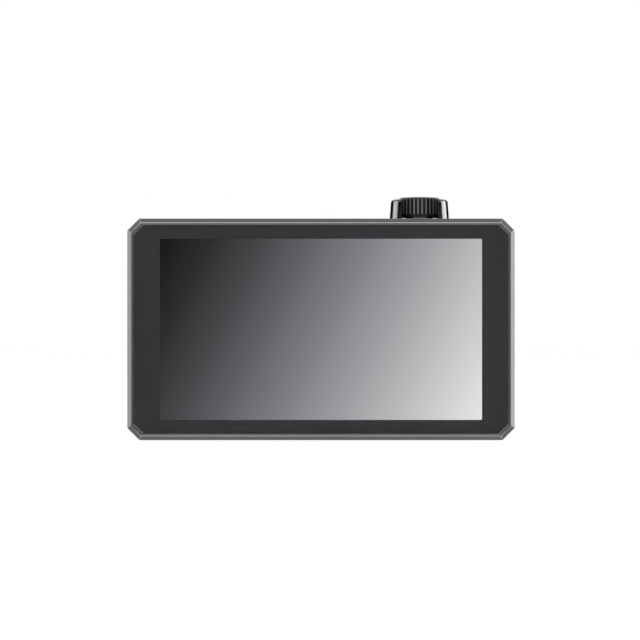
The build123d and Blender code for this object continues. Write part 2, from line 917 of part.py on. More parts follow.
def inner_bosses():
    """Posts and bosses inside: corner screws, key boards, connectors, plate and latch."""
    bosses = thread_boss()
    root = cavity_back + root_lap
    for x, z in corner_posts:
        bosses += rod(x, z, corner_screw_post_r, tenon_d + root_lap, root)
    for x in key_board_posts:
        bosses += post(x, key_depth, post_r, key_board_top, cavity_high + root_lap)
    for z in power_board_posts:
        bosses += side_rod(power_key_depth, z, post_r, power_board_face, cavity_right + root_lap)
    for x in bncs + dc_sockets:
        bosses += rod(x, connector_z, pocket_boss_r, pocket_d - pocket_floor, root)
    for x, z in plate_screw_points:
        bosses += rod(x, z, plate_boss_r, plate_back - plate_screw_l - screw_tip_gap, root)
    for x, z in cover_screw_points:
        bosses += rod(x, z, cover_boss_r, cover_back - cover_screw_l - screw_tip_gap, root)
    half = latch_w / 2 + latch_flange + latch_gap + latch_wall
    rise = latch_h / 2 + latch_flange + latch_gap + latch_wall
    bosses += block((-half, half), (latch_pocket_d - latch_wall, root),
                    (latch_z - rise, latch_z + rise))
    return bosses


def key_recess_cut():
    """Shallow tray round the keys, open to the back, with sloped walls."""
    left, right = left_face + key_recess_inset, key_xs[-1] + key_recess_end
    far = body_d + 4

    def tray(slope):
        shape = Rectangle(right - left - 2 * slope, far - key_recess_start - slope)
        return Pos((left + right) / 2, y_at((key_recess_start + slope + far) / 2)) * shape
    floor = Plane.XY.offset(body_h - key_recess) * tray(key_recess_slope)
    lead = -key_recess_slope * recess_lead / key_recess
    mouth = Plane.XY.offset(body_h + recess_lead) * tray(lead)
    return loft([mouth, floor], ruled=True)


def key_hole(x, depth, width, length, gap):
    """Rounded opening through the top wall for one key."""
    shape = RectangleRounded(width + 2 * gap, length + 2 * gap, key_corner)
    return column(Pos(x, y_at(depth)) * shape, cavity_high - 1, body_h + 1)


def thread_cut(face):
    """Seat of a thread insert and the shallow slot across it, on one face."""
    seat = extrude(face * Circle(insert_r + insert_gap), amount=-insert_l - seat_room)
    slot = extrude(face * SlotOverall(slot_l, slot_w), amount=-slot_d)
    return seat + slot


def side_slot_cut():
    """Seat and slot of the side thread; the slot's upper end runs to a point."""
    half_w, half_l = slot_w / 2, slot_l / 2
    straight = half_l - half_w
    shape = Polygon((-straight, -half_w), (straight, -half_w), (half_l, 0), (straight, half_w),
                    (-straight, half_w), align=None)
    shape += Pos(-straight, 0) * Circle(half_w)
    seat = extrude(thread_side * Circle(insert_r + insert_gap), amount=-insert_l - seat_room)
    return seat + extrude(thread_side * shape, amount=-slot_d)


thread_top = Plane((0, 0, body_h), x_dir=(1, 0, 0), z_dir=(0, 0, 1))
thread_bottom = Plane((0, 0, 0), x_dir=(1, 0, 0), z_dir=(0, 0, -1))
thread_side = Plane((right_face, 0, mid_z), x_dir=(0, 0, 1), z_dir=(1, 0, 0))


def dial_cuts():
    """Guard seat, bushing hole, encoder pocket, mode key dish and its opening."""
    seat = column(guard_footprint(guard_seat_gap), body_h - guard_plate, body_h + 1)
    hole = post(dial_x, dial_depth, bushing_r + bushing_gap, cavity_high - 1, body_h + 1)
    room = encoder_w / 2 + encoder_room
    pocket = block((dial_x - room, mode_x + mode_w / 2 + dial_board_reach + mode_gap),
                   (cavity_back - encoder_pocket, dial_depth + room),
                   (encoder_low - encoder_pocket, cavity_high))
    sphere_r = (dish_r ** 2 + dish_sag ** 2) / (2 * dish_sag)
    dish = Pos(mode_x, y_at(mode_depth), body_h + sphere_r - dish_sag) * Sphere(sphere_r)
    return seat + hole + pocket + dish + key_hole(mode_x, mode_depth, mode_w, mode_l, mode_gap)


def power_cuts():
    """Recess on the right side, key opening, lamp hole, inner relief and vents."""
    def tray(slope):
        low, high = power_recess_low + slope, power_recess_high - slope
        start = power_recess_start + slope
        narrow = power_mouth_step + power_mouth_run
        return side_outline([
            (start, low), (bevel_start, low), (bevel_start, low + power_mouth_step),
            (body_d, low + narrow), (body_d + 1, low + narrow), (body_d + 1, high - narrow),
            (body_d, high - narrow), (bevel_start, high - power_mouth_step), (bevel_start, high),
            (start, high)])
    mouth = tray(-power_recess_slope * recess_lead / power_recess)
    cuts = loft([Plane.YZ.offset(right_face + recess_lead) * mouth,
                 Plane.YZ.offset(right_face - power_recess) * tray(power_recess_slope)], ruled=True)
    opening = RectangleRounded(power_key_w + 2 * power_key_gap, power_key_h + 2 * power_key_gap,
                                power_corner + power_key_gap)
    cuts += beam(Pos(y_at(power_key_depth), power_key_z) * opening, cavity_right - 1, right_face)
    cuts += side_rod(lamp_depth, lamp_z, lamp_r + lamp_gap, cavity_right - 1, right_face)
    half = power_key_h / 2 + power_key_gap + 2 * flange_lap
    relief = (cavity_right - power_relief_w, cavity_right)
    cuts += block(relief, (cavity_bevel_start - 1, cavity_back - power_relief_gap),
                  (power_key_z - half, power_key_z + half))
    for i in range(vent_count):
        z = vent_first + i * vent_pitch
        slot = side_outline([
            (vent_start, z), (vent_start + vent_point, z - vent_h / 2), (vent_end, z - vent_h / 2),
            (vent_end, z + vent_h / 2), (vent_start + vent_point, z + vent_h / 2)])
        cuts += beam(slot, cavity_right - 1, right_face + 1)
    return cuts


def port_cuts():
    """Recess down the left side with its stepped rim, and the four port openings."""
    far = body_d + 4

    def tray(front, end):
        low, high = port_recess_low + end, port_recess_high - end
        start = port_recess_start + front
        return side_outline([(start, low), (far, low), (far, high), (start, high)])
    lead = -recess_lead / port_recess
    mouth = tray(port_front_slope * lead, port_end_slope * lead)
    cuts = loft([Plane.YZ.offset(left_face - recess_lead) * mouth,
                 Plane.YZ.offset(left_face + port_recess) * tray(port_front_slope, port_end_slope)],
                ruled=True)
    cuts += beam(tray(-rim_w, -rim_w), left_face - 1, left_face + rim_step)
    inner = jack_front + port_hole_l + port_floor_wall
    for z in (video_in_z, video_out_z):
        cuts += beam(video_outline(z, video_gap), left_face, inner)
    cuts += beam(type_c_outline(port_gap), left_face, inner)
    cuts += side_rod(jack_depth, jack_z, jack_r + port_gap, left_face, inner)
    return cuts


def groove_cuts():
    """Grooves under the body, running out through the back bevel."""
    count = int((right_face - corner_cut - groove_w / 2 - groove_first) / groove_pitch) + 1
    cuts = Part()
    lean = (groove_w - groove_floor_w) / 2
    far = body_d + 1

    def outline_at(z, inset):
        start = groove_start + groove_slope * inset / lean
        width = groove_w - 2 * inset
        return Plane.XY.offset(z) * Pos(0, y_at((start + far) / 2)) * Rectangle(width, far - start)
    groove = loft([outline_at(-groove_lead, -lean * groove_lead / groove_d),
                   outline_at(groove_d, lean)], ruled=True)
    for i in range(count):
        x = groove_first + i * groove_pitch
        cuts += Pos(x, 0, 0) * groove
        cuts += Pos(-x, 0, 0) * groove
    return cuts


def bay_cuts():
    """Battery bay floor, seat of the rail plate, latch pocket, contact slots, hump hollow."""
    bay = block((-bay_half_w, bay_half_w), (bay_floor, body_d + 8), (hump_top, body_h + 1))
    seat = rail_half_w + plate_gap
    bay += block((-seat, seat), (bay_floor, body_d + 8),
                 (rail_low - seat_rise, plate_top + plate_gap))
    half, rise = latch_w / 2 + latch_flange + latch_gap, latch_h / 2 + latch_flange + latch_gap
    bay += block((-half, half), (latch_pocket_d, bay_floor + 1), (latch_z - rise, latch_z + rise))
    for side in (-1, 1):
        x, half = side * contact_x, contact_thick / 2 + contact_gap
        bay += block((x - half, x + half), (contact_start - contact_gap, contact_end + contact_gap),
                     (contact_low - contact_gap, hump_top))
    hollow = hump_half_w - hump_wall - hump_cut
    bay += block((-hollow, hollow), (cavity_back - 1, hump_back - hump_wall),
                 (hump_wall + 1, contact_low - hump_wall / 2))
    for x, z in plate_screw_points:
        bay += screw_hole(x, z, plate_back, plate_screw_l)
    return bay


def fan_cuts():
    """Square opening for the fan and holes for the cover screws."""
    side = fan_w + 2 * fan_gap
    opening = Pos(fan_x, fan_z) * RectangleRounded(side, side, fan_round)
    cuts = slab(opening, cavity_back - 1, body_d + 1)
    for x, z in cover_screw_points:
        cuts += screw_hole(x, z, cover_back, cover_screw_l, small_head_r)
    return cuts


def connector_cuts():
    """Round pockets for the four rear connectors and the holes in their floors."""
    cuts = Part()
    for x in bncs + dc_sockets:
        cuts += rod(x, connector_z, pocket_r, pocket_d, body_d + 1)
        cuts += rod(x, connector_z, stub_r + stub_gap, pocket_d - pocket_floor - 1, body_d)
    return cuts


def rear_housing():
    """Cast and machined metal housing: everything behind the front frame's parting line."""
    housing = housing_shell() + back_relief() + hump() + dial_block() + inner_bosses()
    housing -= key_recess_cut()
    for x in key_xs:
        housing -= key_hole(x, key_depth, key_w, key_l, key_gap)
    housing -= thread_cut(thread_top) + thread_cut(thread_bottom)
    housing -= side_slot_cut()
    housing -= dial_cuts()
    housing -= power_cuts()
    housing -= port_cuts()
    housing -= groove_cuts()
    housing -= bay_cuts()
    housing -= fan_cuts()
    housing -= connector_cuts()
    for x, z in corner_posts:
        housing -= screw_hole(x, z, body_d, corner_screw_l)
    for x in key_board_posts:
        housing -= post(x, key_depth, screw_r + screw_gap, key_board_top - 1,
                        cavity_high - post_tip_gap)
    for z in power_board_posts:
        housing -= side_rod(power_key_depth, z, screw_r + screw_gap, power_board_face - 1,
                            cavity_right - post_tip_gap)
    return housing


# ------------------------------------------------------------------ keys and their boards


def top_key(x, depth, width, length, top, stem_end):
    """Key cap with a stop flange under the wall and a stem above its switch."""
    place = Pos(x, y_at(depth))
    cap = column(place * RectangleRounded(width, length, cap_corner),
                 key_flange_top - root_lap, top)
    cap = chamfer(cap.faces().sort_by(Axis.Z)[-1].edges(), key_bevel)
    lap = 2 * (key_gap + flange_lap)
    flange = column(place * Rectangle(width + lap, length + lap),
                    key_flange_top - flange_thick, key_flange_top)
    return cap + flange + post(x, depth, stem_r, stem_end, key_flange_top - flange_thick)


def function_key(index):
    """One of the keys in the recessed row."""
    top = body_h - key_recess + key_proud
    return top_key(key_xs[index], key_depth, key_w, key_l, top, key_stem_end)


def mode_exit_button():
    """Key in the dish beside the dial; its stem reaches down to the dial's board."""
    stem_end = dial_board_top + switch_h + plunger_h + switch_gap
    return top_key(mode_x, mode_depth, mode_w, mode_l, body_h + mode_proud, stem_end)


def power_button():
    """Side key with a bevelled cap, stopped inside by tabs above and below."""
    place = Pos(y_at(power_key_depth), power_key_z)
    inner = cavity_right - key_rest_gap
    cap = beam(place * RectangleRounded(power_key_w, power_key_h, power_corner), inner - root_lap,
               right_face - power_recess + power_proud)
    cap = chamfer(cap.faces().sort_by(Axis.X)[-1].edges(), power_bevel)
    tabs = beam(place * Rectangle(power_key_w, power_key_h + 2 * (power_key_gap + flange_lap)),
                inner - flange_thick, inner)
    stem = side_rod(power_key_depth, power_key_z, stem_r, power_stem_end, inner - flange_thick)
    return cap + tabs + stem


def status_light_pipe():
    """Clear pin from the lamp on the power board to the recess floor."""
    return side_rod(lamp_depth, lamp_z, lamp_r, power_board_face + lamp_chip_t + lamp_gap,
                    right_face - power_recess)


def switch_block(centre, direction):
    """Tact switch with a round plunger, standing on its board."""
    plane = Plane(centre, z_dir=direction)
    return extrude(plane * Rectangle(switch_w, switch_w), amount=switch_h) + extrude(
        plane * Circle(plunger_r), amount=switch_h + plunger_h)


def tact_switches():
    """The five tact switches: three for the key row, one for mode, one for power."""
    places = [((x, y_at(key_depth), key_board_top), (0, 0, 1)) for x in key_xs]
    places.append(((mode_x, y_at(mode_depth), dial_board_top), (0, 0, 1)))
    places.append(((power_board_face, y_at(power_key_depth), power_key_z), (1, 0, 0)))
    return Part() + [switch_block(centre, direction) for centre, direction in places]


def key_board():
    """Board under the key row, screwed to two posts of the housing."""
    low = key_board_top - key_board_thick
    board = block((key_board_posts[0] - key_board_lap, key_board_posts[1] + key_board_lap),
                  (key_depth - key_board_front, key_depth + key_board_back), (low, key_board_top))
    for x in key_board_posts:
        board -= post(x, key_depth, screw_r + screw_gap, low - 1, key_board_top + 1)
    return board


def dial_board():
    """Board under the encoder and the mode key, carried by the encoder."""
    left = dial_x - encoder_w / 2 - dial_board_lap
    right = mode_x + mode_w / 2 + dial_board_reach
    return block((left, right), (dial_depth - encoder_w / 2, dial_depth + encoder_w / 2),
                 (dial_board_top - key_board_thick, dial_board_top))


def power_board():
    """Upright board behind the power key and the lamp, screwed to two side posts."""
    face = (power_board_face - key_board_thick, power_board_face)
    low, high = power_board_posts[0] - power_board_lap, power_board_posts[1] + power_board_rise
    board = block(face, (power_key_depth - power_board_front, power_key_depth + power_board_back),
                  (low, high))
    for z in power_board_posts:
        board -= side_rod(power_key_depth, z, screw_r + screw_gap, face[0] - 1, face[1] + 1)
    lamp = Pos(y_at(lamp_depth), lamp_z) * Rectangle(lamp_chip_w, lamp_chip_h)
    return board + beam(lamp, face[1], face[1] + lamp_chip_t)


# ------------------------------------------------------------------ menu dial


def encoder_body():
    """Rotary encoder case with a threaded bushing that passes up through the wall."""
    y = y_at(dial_depth)
    case = column(Pos(dial_x, y) * Rectangle(encoder_w, encoder_w), encoder_low, encoder_top)
    case += post(dial_x, dial_depth, bushing_r, encoder_top, body_h + bushing_proud)
    case -= post(dial_x, dial_depth, slider_r + slider_room, encoder_low + encoder_wall,
                 encoder_top - encoder_wall)
    return case - post(dial_x, dial_depth, shaft_r + shaft_gap, encoder_low + encoder_wall,
                       body_h + 2)


def encoder_slider():
    """Disc in the encoder that the shaft pushes down to close the menu switch."""
    return post(dial_x, dial_depth, slider_r, slider_low, slider_low + slider_h)


def encoder_shaft():
    """Shaft with a retaining collar and a flat for the dial."""
    top = body_h + dial_h - dial_roof - shaft_tip_gap
    shaft = post(dial_x, dial_depth, collar_r, collar_low, collar_low + collar_h)
    shaft += post(dial_x, dial_depth, shaft_r, collar_low, top)
    flat = Pos(dial_x, y_at(dial_depth) + 2 * shaft_r - shaft_flat) * Rectangle(
        2 * shaft_r + 1, 2 * shaft_r)
    return shaft - column(flat, body_h + bushing_proud + shaft_collar, top + 1)


def encoder_nut():
    """Hexagon nut that clamps the encoder and the guard to the top wall."""
    place = Pos(dial_x, y_at(dial_depth))
    ring = RegularPolygon(nut_r, 6) - Circle(bushing_r + press_fit)
    return column(place * ring, body_h, body_h + nut_h)


def guard_footprint(grow):
    """Outline of the guard's base plate in x and y."""
    half = guard_flat + grow
    disc = Circle(guard_r + grow) & Rectangle(4 * guard_r, 2 * half)
    return Pos(dial_x, y_at(dial_depth)) * disc


def dial_guard():
    """Two upright arcs on one base plate that keep the dial from being knocked."""
    place = Pos(dial_x, y_at(dial_depth))
    profile = Plane.XZ * Polygon((guard_bore_r, 0), (guard_r, 0), (guard_top_r, guard_h),
                                 (guard_bore_r, guard_h), align=None)
    wall = revolve(profile, axis=Axis.Z)
    top_circles = wall.edges().filter_by(GeomType.CIRCLE).group_by(Axis.Z)[-1]
    wall = fillet(top_circles.sort_by(SortBy.RADIUS)[-1], guard_round)
    wall &= Pos(0, 0, guard_h / 2) * Box(4 * guard_r, 2 * guard_flat, guard_h)
    wall -= Pos(0, 0, guard_h / 2) * Box(2 * guard_opening, 4 * guard_r, guard_h + 1)
    plate = column(guard_footprint(0), body_h - guard_plate, body_h)
    plate -= post(dial_x, dial_depth, bushing_r + bushing_gap, 0, body_h + 1)
    return plate + place * Pos(0, 0, body_h) * wall


def knurl_outline():
    """Star outline of the dial's grip, one pair of flanks for each tooth."""
    points = []
    for i in range(rib_teeth):
        for share, radius in ((-tooth_foot, dial_r - tooth_depth), (-tooth_crest, dial_r),
                              (tooth_crest, dial_r), (tooth_foot, dial_r - tooth_depth)):
            angle = 2 * math.pi * (i + share) / rib_teeth
            points.append((radius * math.cos(angle), radius * math.sin(angle)))
    return Polygon(*points, align=None)


def menu_dial():
    """Knurled dial with a plain lower band, a bevelled top and a blind bore for the shaft."""
    y = y_at(dial_depth)
    low, top = body_h + dial_low, body_h + dial_h
    grip = column(Pos(dial_x, y) * knurl_outline(), low + dial_band_h, top)
    slope = Plane.XZ * Polygon((0, 0), (dial_r + 1, 0), (dial_r + 1, top - low - dial_bevel - 1),
                               (dial_r, top - low - dial_bevel), (dial_top_r, top - low),
                               (0, top - low), align=None)
    grip &= Pos(dial_x, y, low) * revolve(slope, axis=Axis.Z)
    dial = grip + post(dial_x, dial_depth, dial_band_r, low, low + dial_band_h)
    dial -= post(dial_x, dial_depth, dial_skirt_r, low - 1, low + dial_skirt_h)
    bore_top = body_h + dial_h - dial_roof
    bore = post(dial_x, dial_depth, shaft_r + press_fit, low, bore_top)
    flat = Pos(dial_x, y + 2 * shaft_r - shaft_flat + press_fit) * Rectangle(
        2 * shaft_r + 1, 2 * shaft_r)
    flat_low = body_h + bushing_proud + shaft_collar + shaft_flat_gap
    bore -= column(flat, flat_low, bore_top)
    return dial - bore


# ------------------------------------------------------------------ ports on the left side


def video_outline(z, grow):
    """Video socket outline in y and z: wide edge to the back, two cuts at the front."""
    half_w, half_t = video_w / 2 + grow, video_t / 2 + grow
    d = video_depth
    return side_outline([
        (d + half_t, z - half_w), (d + half_t, z + half_w), (d - half_t + video_cut, z + half_w),
        (d - half_t, z + half_w - video_cut), (d - half_t, z - half_w + video_cut),
        (d - half_t + video_cut, z - half_w)])


def video_shell(z):
    """Pressed metal shell of a video socket, closed at its inner end."""
    shell = beam(video_outline(z, 0), jack_front, jack_front + video_l)
    shell -= beam(video_outline(z, -video_wall), jack_front - 1, jack_front + video_l - video_wall)
    return shell


def video_tongue(z):
    """Contact tongue of a video socket on its moulded base."""
    back = jack_front + video_l - video_wall
    base = beam(video_outline(z, -video_wall - press_fit), back - socket_base, back)
    place = Pos(y_at(video_depth - video_tongue_lead), z)
    tongue = place * Rectangle(video_tongue_t, video_tongue_w)
    return base + beam(tongue, jack_front + tongue_setback, back)


def type_c_outline(grow):
    """Stadium outline of the small reversible port, its long axis upright."""
    slot = Rot(0, 0, 90) * SlotOverall(type_c_w + 2 * grow, type_c_t + 2 * grow)
    return Pos(y_at(type_c_depth), type_c_z) * slot


def type_c_shell():
    """Drawn metal shell of the small reversible port."""
    shell = beam(type_c_outline(0), jack_front, jack_front + type_c_l)
    return shell - beam(type_c_outline(-type_c_wall), jack_front - 1,
                        jack_front + type_c_l - type_c_wall)


def type_c_tongue():
    """Thin contact tongue of the small port on its moulded base."""
    back = jack_front + type_c_l - type_c_wall
    base = beam(type_c_outline(-type_c_wall - press_fit), back - socket_base, back)
    tongue = Pos(y_at(type_c_depth), type_c_z) * Rectangle(type_c_tongue_t, type_c_tongue_w)
    return base + beam(tongue, jack_front + tongue_setback, back)


def headphone_jack():
    """Moulded 3.5 mm jack: round nose through the wall, square body on the board."""
    start = jack_front - jack_proud
    nose = side_rod(jack_depth, jack_z, jack_r, start, cavity_left + jack_proud)
    middle = Pos(y_at(jack_depth), jack_z) * Rectangle(jack_t, jack_w)
    jack = nose + beam(middle, cavity_left + port_gap, cavity_left + jack_l)
    return jack - side_rod(jack_depth, jack_z, jack_bore_r, start - 1, start + jack_bore_l)


# ------------------------------------------------------------------ rear connectors


def bnc(x):
    """Bayonet video connector: barrel with two lugs, flange in the pocket, rear stub."""
    body = rod(x, connector_z, bnc_r, pocket_d, bnc_tip)
    body += rod(x, connector_z, bnc_flange_r, pocket_d, pocket_d + bnc_flange_t)
    body += rod(x, connector_z, stub_r, stub_end, pocket_d)
    lug = bnc_r + bnc_lug_proud
    body += side_rod(bnc_lug_depth, connector_z, bnc_lug_r, x - lug, x + lug)
    tip_edge = body.edges().filter_by(GeomType.CIRCLE).sort_by(Axis.Y)[-1]
    body = chamfer(tip_edge, bnc_edge)
    return body - rod(x, connector_z, bnc_bore_r, pocket_d + bnc_flange_t, bnc_tip + 1)


def bnc_insulators():
    """White insulators on the floor of the two bayonet connectors."""
    return Part() + [
        rod(x, connector_z, insulator_r, pocket_d + bnc_flange_t, insulator_back)
        - rod(x, connector_z, contact_r + press_fit, pocket_d, insulator_back + 1)
        for x in bncs]


def bnc_contacts():
    """Hollow centre contacts of the two bayonet connectors."""
    return Part() + [
        rod(x, connector_z, contact_r, pocket_d + bnc_flange_t, contact_tip)
        - rod(x, connector_z, contact_bore_r, pocket_d + 2, contact_tip + 1)
        for x in bncs]


def panel_nuts(places):
    """Hexagon nuts on the connectors' stubs, inside the housing."""
    floor = pocket_d - pocket_floor
    ring = RegularPolygon(panel_nut_r, 6) - Circle(stub_r + press_fit)
    return Part() + [slab(Pos(x, connector_z) * ring, floor - panel_nut_t, floor) for x in places]


def dc_socket(x):
    """Locking power socket: barrel in the pocket, round flange, collar and nose."""
    body = rod(x, connector_z, stub_r, stub_end, pocket_d)
    body += rod(x, connector_z, dc_barrel_r, pocket_d, dc_collar_end)
    body += rod(x, connector_z, dc_flange_r, dc_flange_start, dc_flange_end)
    body += rod(x, connector_z, dc_nose_r, dc_collar_end, dc_nose_end)
    return body - rod(x, connector_z, dc_bore_r, dc_nose_end - dc_bore_l, dc_nose_end + 1)


def dc_pins():
    """Centre pins of the two power sockets."""
    return Part() + [
        rod(x, connector_z, dc_pin_r, dc_nose_end - dc_bore_l, dc_nose_end - dc_pin_setback)
        for x in dc_sockets]


def thread_insert(face):
    """Plain brass sleeve cut with the mounting thread."""
    sleeve = Circle(insert_r) - Circle(insert_bore_r)
    return extrude(face * sleeve, amount=-insert_l)


# ------------------------------------------------------------------ battery bay


def battery_plate():
    """Moulded plate on the bay floor with two lugged rails that hold the battery."""
    plate = block((-bay_half_w + plate_gap, bay_half_w - plate_gap), (bay_floor, plate_back),
                  (plate_low, plate_top))
    for side in (-1, 1):
        inner = bay_half_w - 2 * plate_gap
        rail = block((inner, rail_half_w), (bay_floor, rail_back), (rail_low, plate_top))
        rail = chamfer(rail.faces().sort_by(Axis.Y)[-1].edges().filter_by(Axis.Z), rail_edge)
        for i in range(2):
            low = rail_low + lug_low + i * lug_pitch
            rail += block((inner - lug_reach, inner + lug_reach),
                          (rail_back - lug_thick, rail_back), (low, low + lug_l))
        plate += rail if side > 0 else mirror(rail, about=Plane.YZ)
    window_w, window_h = latch_w + 2 * latch_gap, latch_h + 2 * latch_gap
    plate -= slab(Pos(0, latch_z) * Rectangle(window_w, window_h), bay_floor - 1, plate_back + 1)
    for x, z in plate_screw_points:
        plate -= screw_hole(x, z, plate_back, plate_screw_l)
    return plate


def battery_latch():
    """Sprung catch with a sloped nose, kept under the plate by its flange."""
    top = plate_back + latch_proud
    low, high = latch_z - latch_h / 2, latch_z + latch_h / 2
    nose = side_outline([
        (latch_flange_d, low), (top - latch_lip, low), (top, low + latch_lip),
        (top, low + latch_crest), (plate_back, high), (latch_flange_d, high)])
    catch = beam(nose, -latch_w / 2, latch_w / 2)
    flange_w, flange_h = latch_w + 2 * latch_flange, latch_h + 2 * latch_flange
    return catch + slab(Pos(0, latch_z) * Rectangle(flange_w, flange_h), latch_flange_d,
                        latch_flange_d + latch_flange)


def latch_spring():
    """Bowed leaf spring on the floor of the latch pocket."""
    half = latch_h / 2
    sag = ThreePointArc((y_at(latch_pocket_d), latch_z - half),
                        (y_at(latch_pocket_d) + spring_rise - spring_thick, latch_z),
                        (y_at(latch_pocket_d), latch_z + half))
    crest = ThreePointArc((y_at(latch_pocket_d), latch_z + half + spring_lap),
                          (y_at(latch_pocket_d) + spring_rise, latch_z),
                          (y_at(latch_pocket_d), latch_z - half - spring_lap))
    ends = [Line(sag @ 1, crest @ 0), Line(crest @ 1, sag @ 0)]
    return beam(make_face([sag, ends[0], crest, ends[1]]), -spring_w / 2, spring_w / 2)


def battery_contacts():
    """Two upright blades in slots of the hump."""
    blades = []
    for side in (-1, 1):
        x, half = side * contact_x, contact_thick / 2
        blade = block((x - half, x + half), (contact_start, contact_end),
                      (contact_low, contact_top))
        blades.append(chamfer(blade.edges().filter_by(Axis.X).group_by(Axis.Z)[-1], contact_point))
    return Part() + blades


# ------------------------------------------------------------------ fan


def fan_cover():
    """Moulded cover over the fan with a slotted grille and four corner screws."""
    shape = Pos(fan_x, fan_z) * Rectangle(cover_w, cover_h)
    cover = slab(shape, body_d, cover_back)
    cover = chamfer(cover.edges().filter_by(Axis.Y), cover_edge)
    cover = chamfer(cover.faces().sort_by(Axis.Y)[-1].edges(), cover_face_edge)
    high = fan_z + cover_h / 2
    slope = side_outline([(cover_back - cover_top_slope - 1, high + 1), (cover_back + 1, high + 1),
                          (cover_back + 1, high - cover_top_slope - 1)])
    cover -= beam(slope, fan_x - cover_w, fan_x + cover_w)
    side = fan_w + 2 * fan_gap
    cover -= slab(Pos(fan_x, fan_z) * RectangleRounded(side, side, fan_round), body_d - 1,
                  cover_back - cover_wall)
    for i in range(grille_slots):
        z = fan_z + (i - (grille_slots - 1) / 2) * grille_pitch
        half = math.sqrt((fan_duct_r - grille_rim) ** 2 - (z - fan_z) ** 2)
        slot = Pos(fan_x, z) * SlotOverall(2 * half, grille_w)
        cover -= slab(slot, body_d, cover_back + 1)
    cover += rod(fan_x, fan_z, grille_hub_r, cover_back - cover_wall, cover_back)
    for x, z in four_corners(2 * fan_hole_offset, 2 * fan_hole_offset, fan_x, fan_z):
        cover += rod(x, z, fan_peg_r, fan_back - fan_peg_l, fan_back + 2 * fan_seat_gap)
    for x, z in cover_screw_points:
        cover -= screw_hole(x, z, cover_back, cover_screw_l, small_head_r)
    return cover


def fan_frame():
    """Square fan frame: round duct, base disc on three spokes, four corner holes."""
    frame = slab(Pos(fan_x, fan_z) * RectangleRounded(fan_w, fan_w, fan_round), fan_front, fan_back)
    frame -= rod(fan_x, fan_z, fan_duct_r, fan_front - 1, fan_back + 1)
    frame += rod(fan_x, fan_z, fan_base_r, fan_front, fan_front + fan_base_t)
    for i in range(3):
        spoke = Pos(fan_x, fan_z) * Rot(0, 0, 90 + 120 * i) * Pos(fan_duct_r / 2, 0)
        frame += slab(spoke * Rectangle(fan_duct_r + 2 * root_lap, fan_spoke_w), fan_front,
                      fan_front + fan_base_t)
    frame -= rod(fan_x, fan_z, fan_shaft_r + fan_shaft_gap, fan_front - 1, fan_back)
    for x, z in four_corners(2 * fan_hole_offset, 2 * fan_hole_offset, fan_x, fan_z):
        frame -= rod(x, z, fan_peg_r + fan_peg_gap, fan_front - 1, fan_back + 1)
    return frame


def fan_rotor():
    """Hub with a short shaft and tilted blades."""
    low, high = fan_front + fan_base_t + fan_blade_gap, fan_back - fan_blade_gap
    tip = fan_duct_r - fan_tip_gap
    blade = Pos(tip / 2, 0, 0) * Rot(fan_blade_tilt, 0, 0) * Box(tip, fan_blade_l, fan_blade_t)
    blades = Part()
    for i in range(fan_blades):
        blades += Rot(0, 0, 360 * i / fan_blades) * blade
    ring = extrude(Circle(tip) - Circle(fan_hub_r - root_lap), amount=(high - low) / 2, both=True)
    blades &= ring
    rotor = facing((low + high) / 2) * Pos(fan_x, fan_z) * blades
    rotor += rod(fan_x, fan_z, fan_hub_r, low, high)
    return rotor + rod(fan_x, fan_z, fan_shaft_r, fan_front + fan_shaft_tip, low)


def vent_screen():
    """Thin dust screen inside the side vents."""
    low = vent_first - vent_h / 2
    high = vent_first + (vent_count - 1) * vent_pitch + vent_h / 2 + screen_lap
    return block((cavity_right - screen_sheet, cavity_right),
                 (vent_start - screen_lap, cavity_bevel_start), (low, high))


# ------------------------------------------------------------------ screws


def housing_screws():
    """Four screws from the back through the corner posts into the front frame."""
    return Part() + [screw(x, z, body_d, corner_screw_l) for x, z in corner_posts]


def plate_screws():
    """Four screws that hold the rail plate to the bay floor."""
    return Part() + [screw(x, z, plate_back, plate_screw_l) for x, z in plate_screw_points]


def fan_screws():
    """Four screws through the corners of the fan cover."""
    return Part() + [screw(x, z, cover_back, cover_screw_l, small_head_r)
                     for x, z in cover_screw_points]


def board_screws():
    """Small pan screws of the mid plate, the main board, the key board and the power board."""
    screws = []
    for x, z in board_screw_points:
        shank = rod(x, z, screw_r, spreader_back, board_back)
        screws.append(shank + rod(x, z, pan_head_r, board_back, board_back + pan_head_h))
    for x, z in spreader_screws:
        shank = rod(x, z, screw_r, tenon_d - spreader_bite, spreader_back)
        screws.append(shank + rod(x, z, pan_head_r, spreader_back, spreader_back + pan_head_h))
    low = key_board_top - key_board_thick
    for x in key_board_posts:
        shank = post(x, key_depth, screw_r, low, cavity_high - 1)
        screws.append(shank + post(x, key_depth, pan_head_r, low - pan_head_h, low))
    back = power_board_face - key_board_thick
    for z in power_board_posts:
        shank = side_rod(power_key_depth, z, screw_r, back, cavity_right - 1)
        screws.append(shank + side_rod(power_key_depth, z, pan_head_r, back - pan_head_h, back))
    return Part() + screws


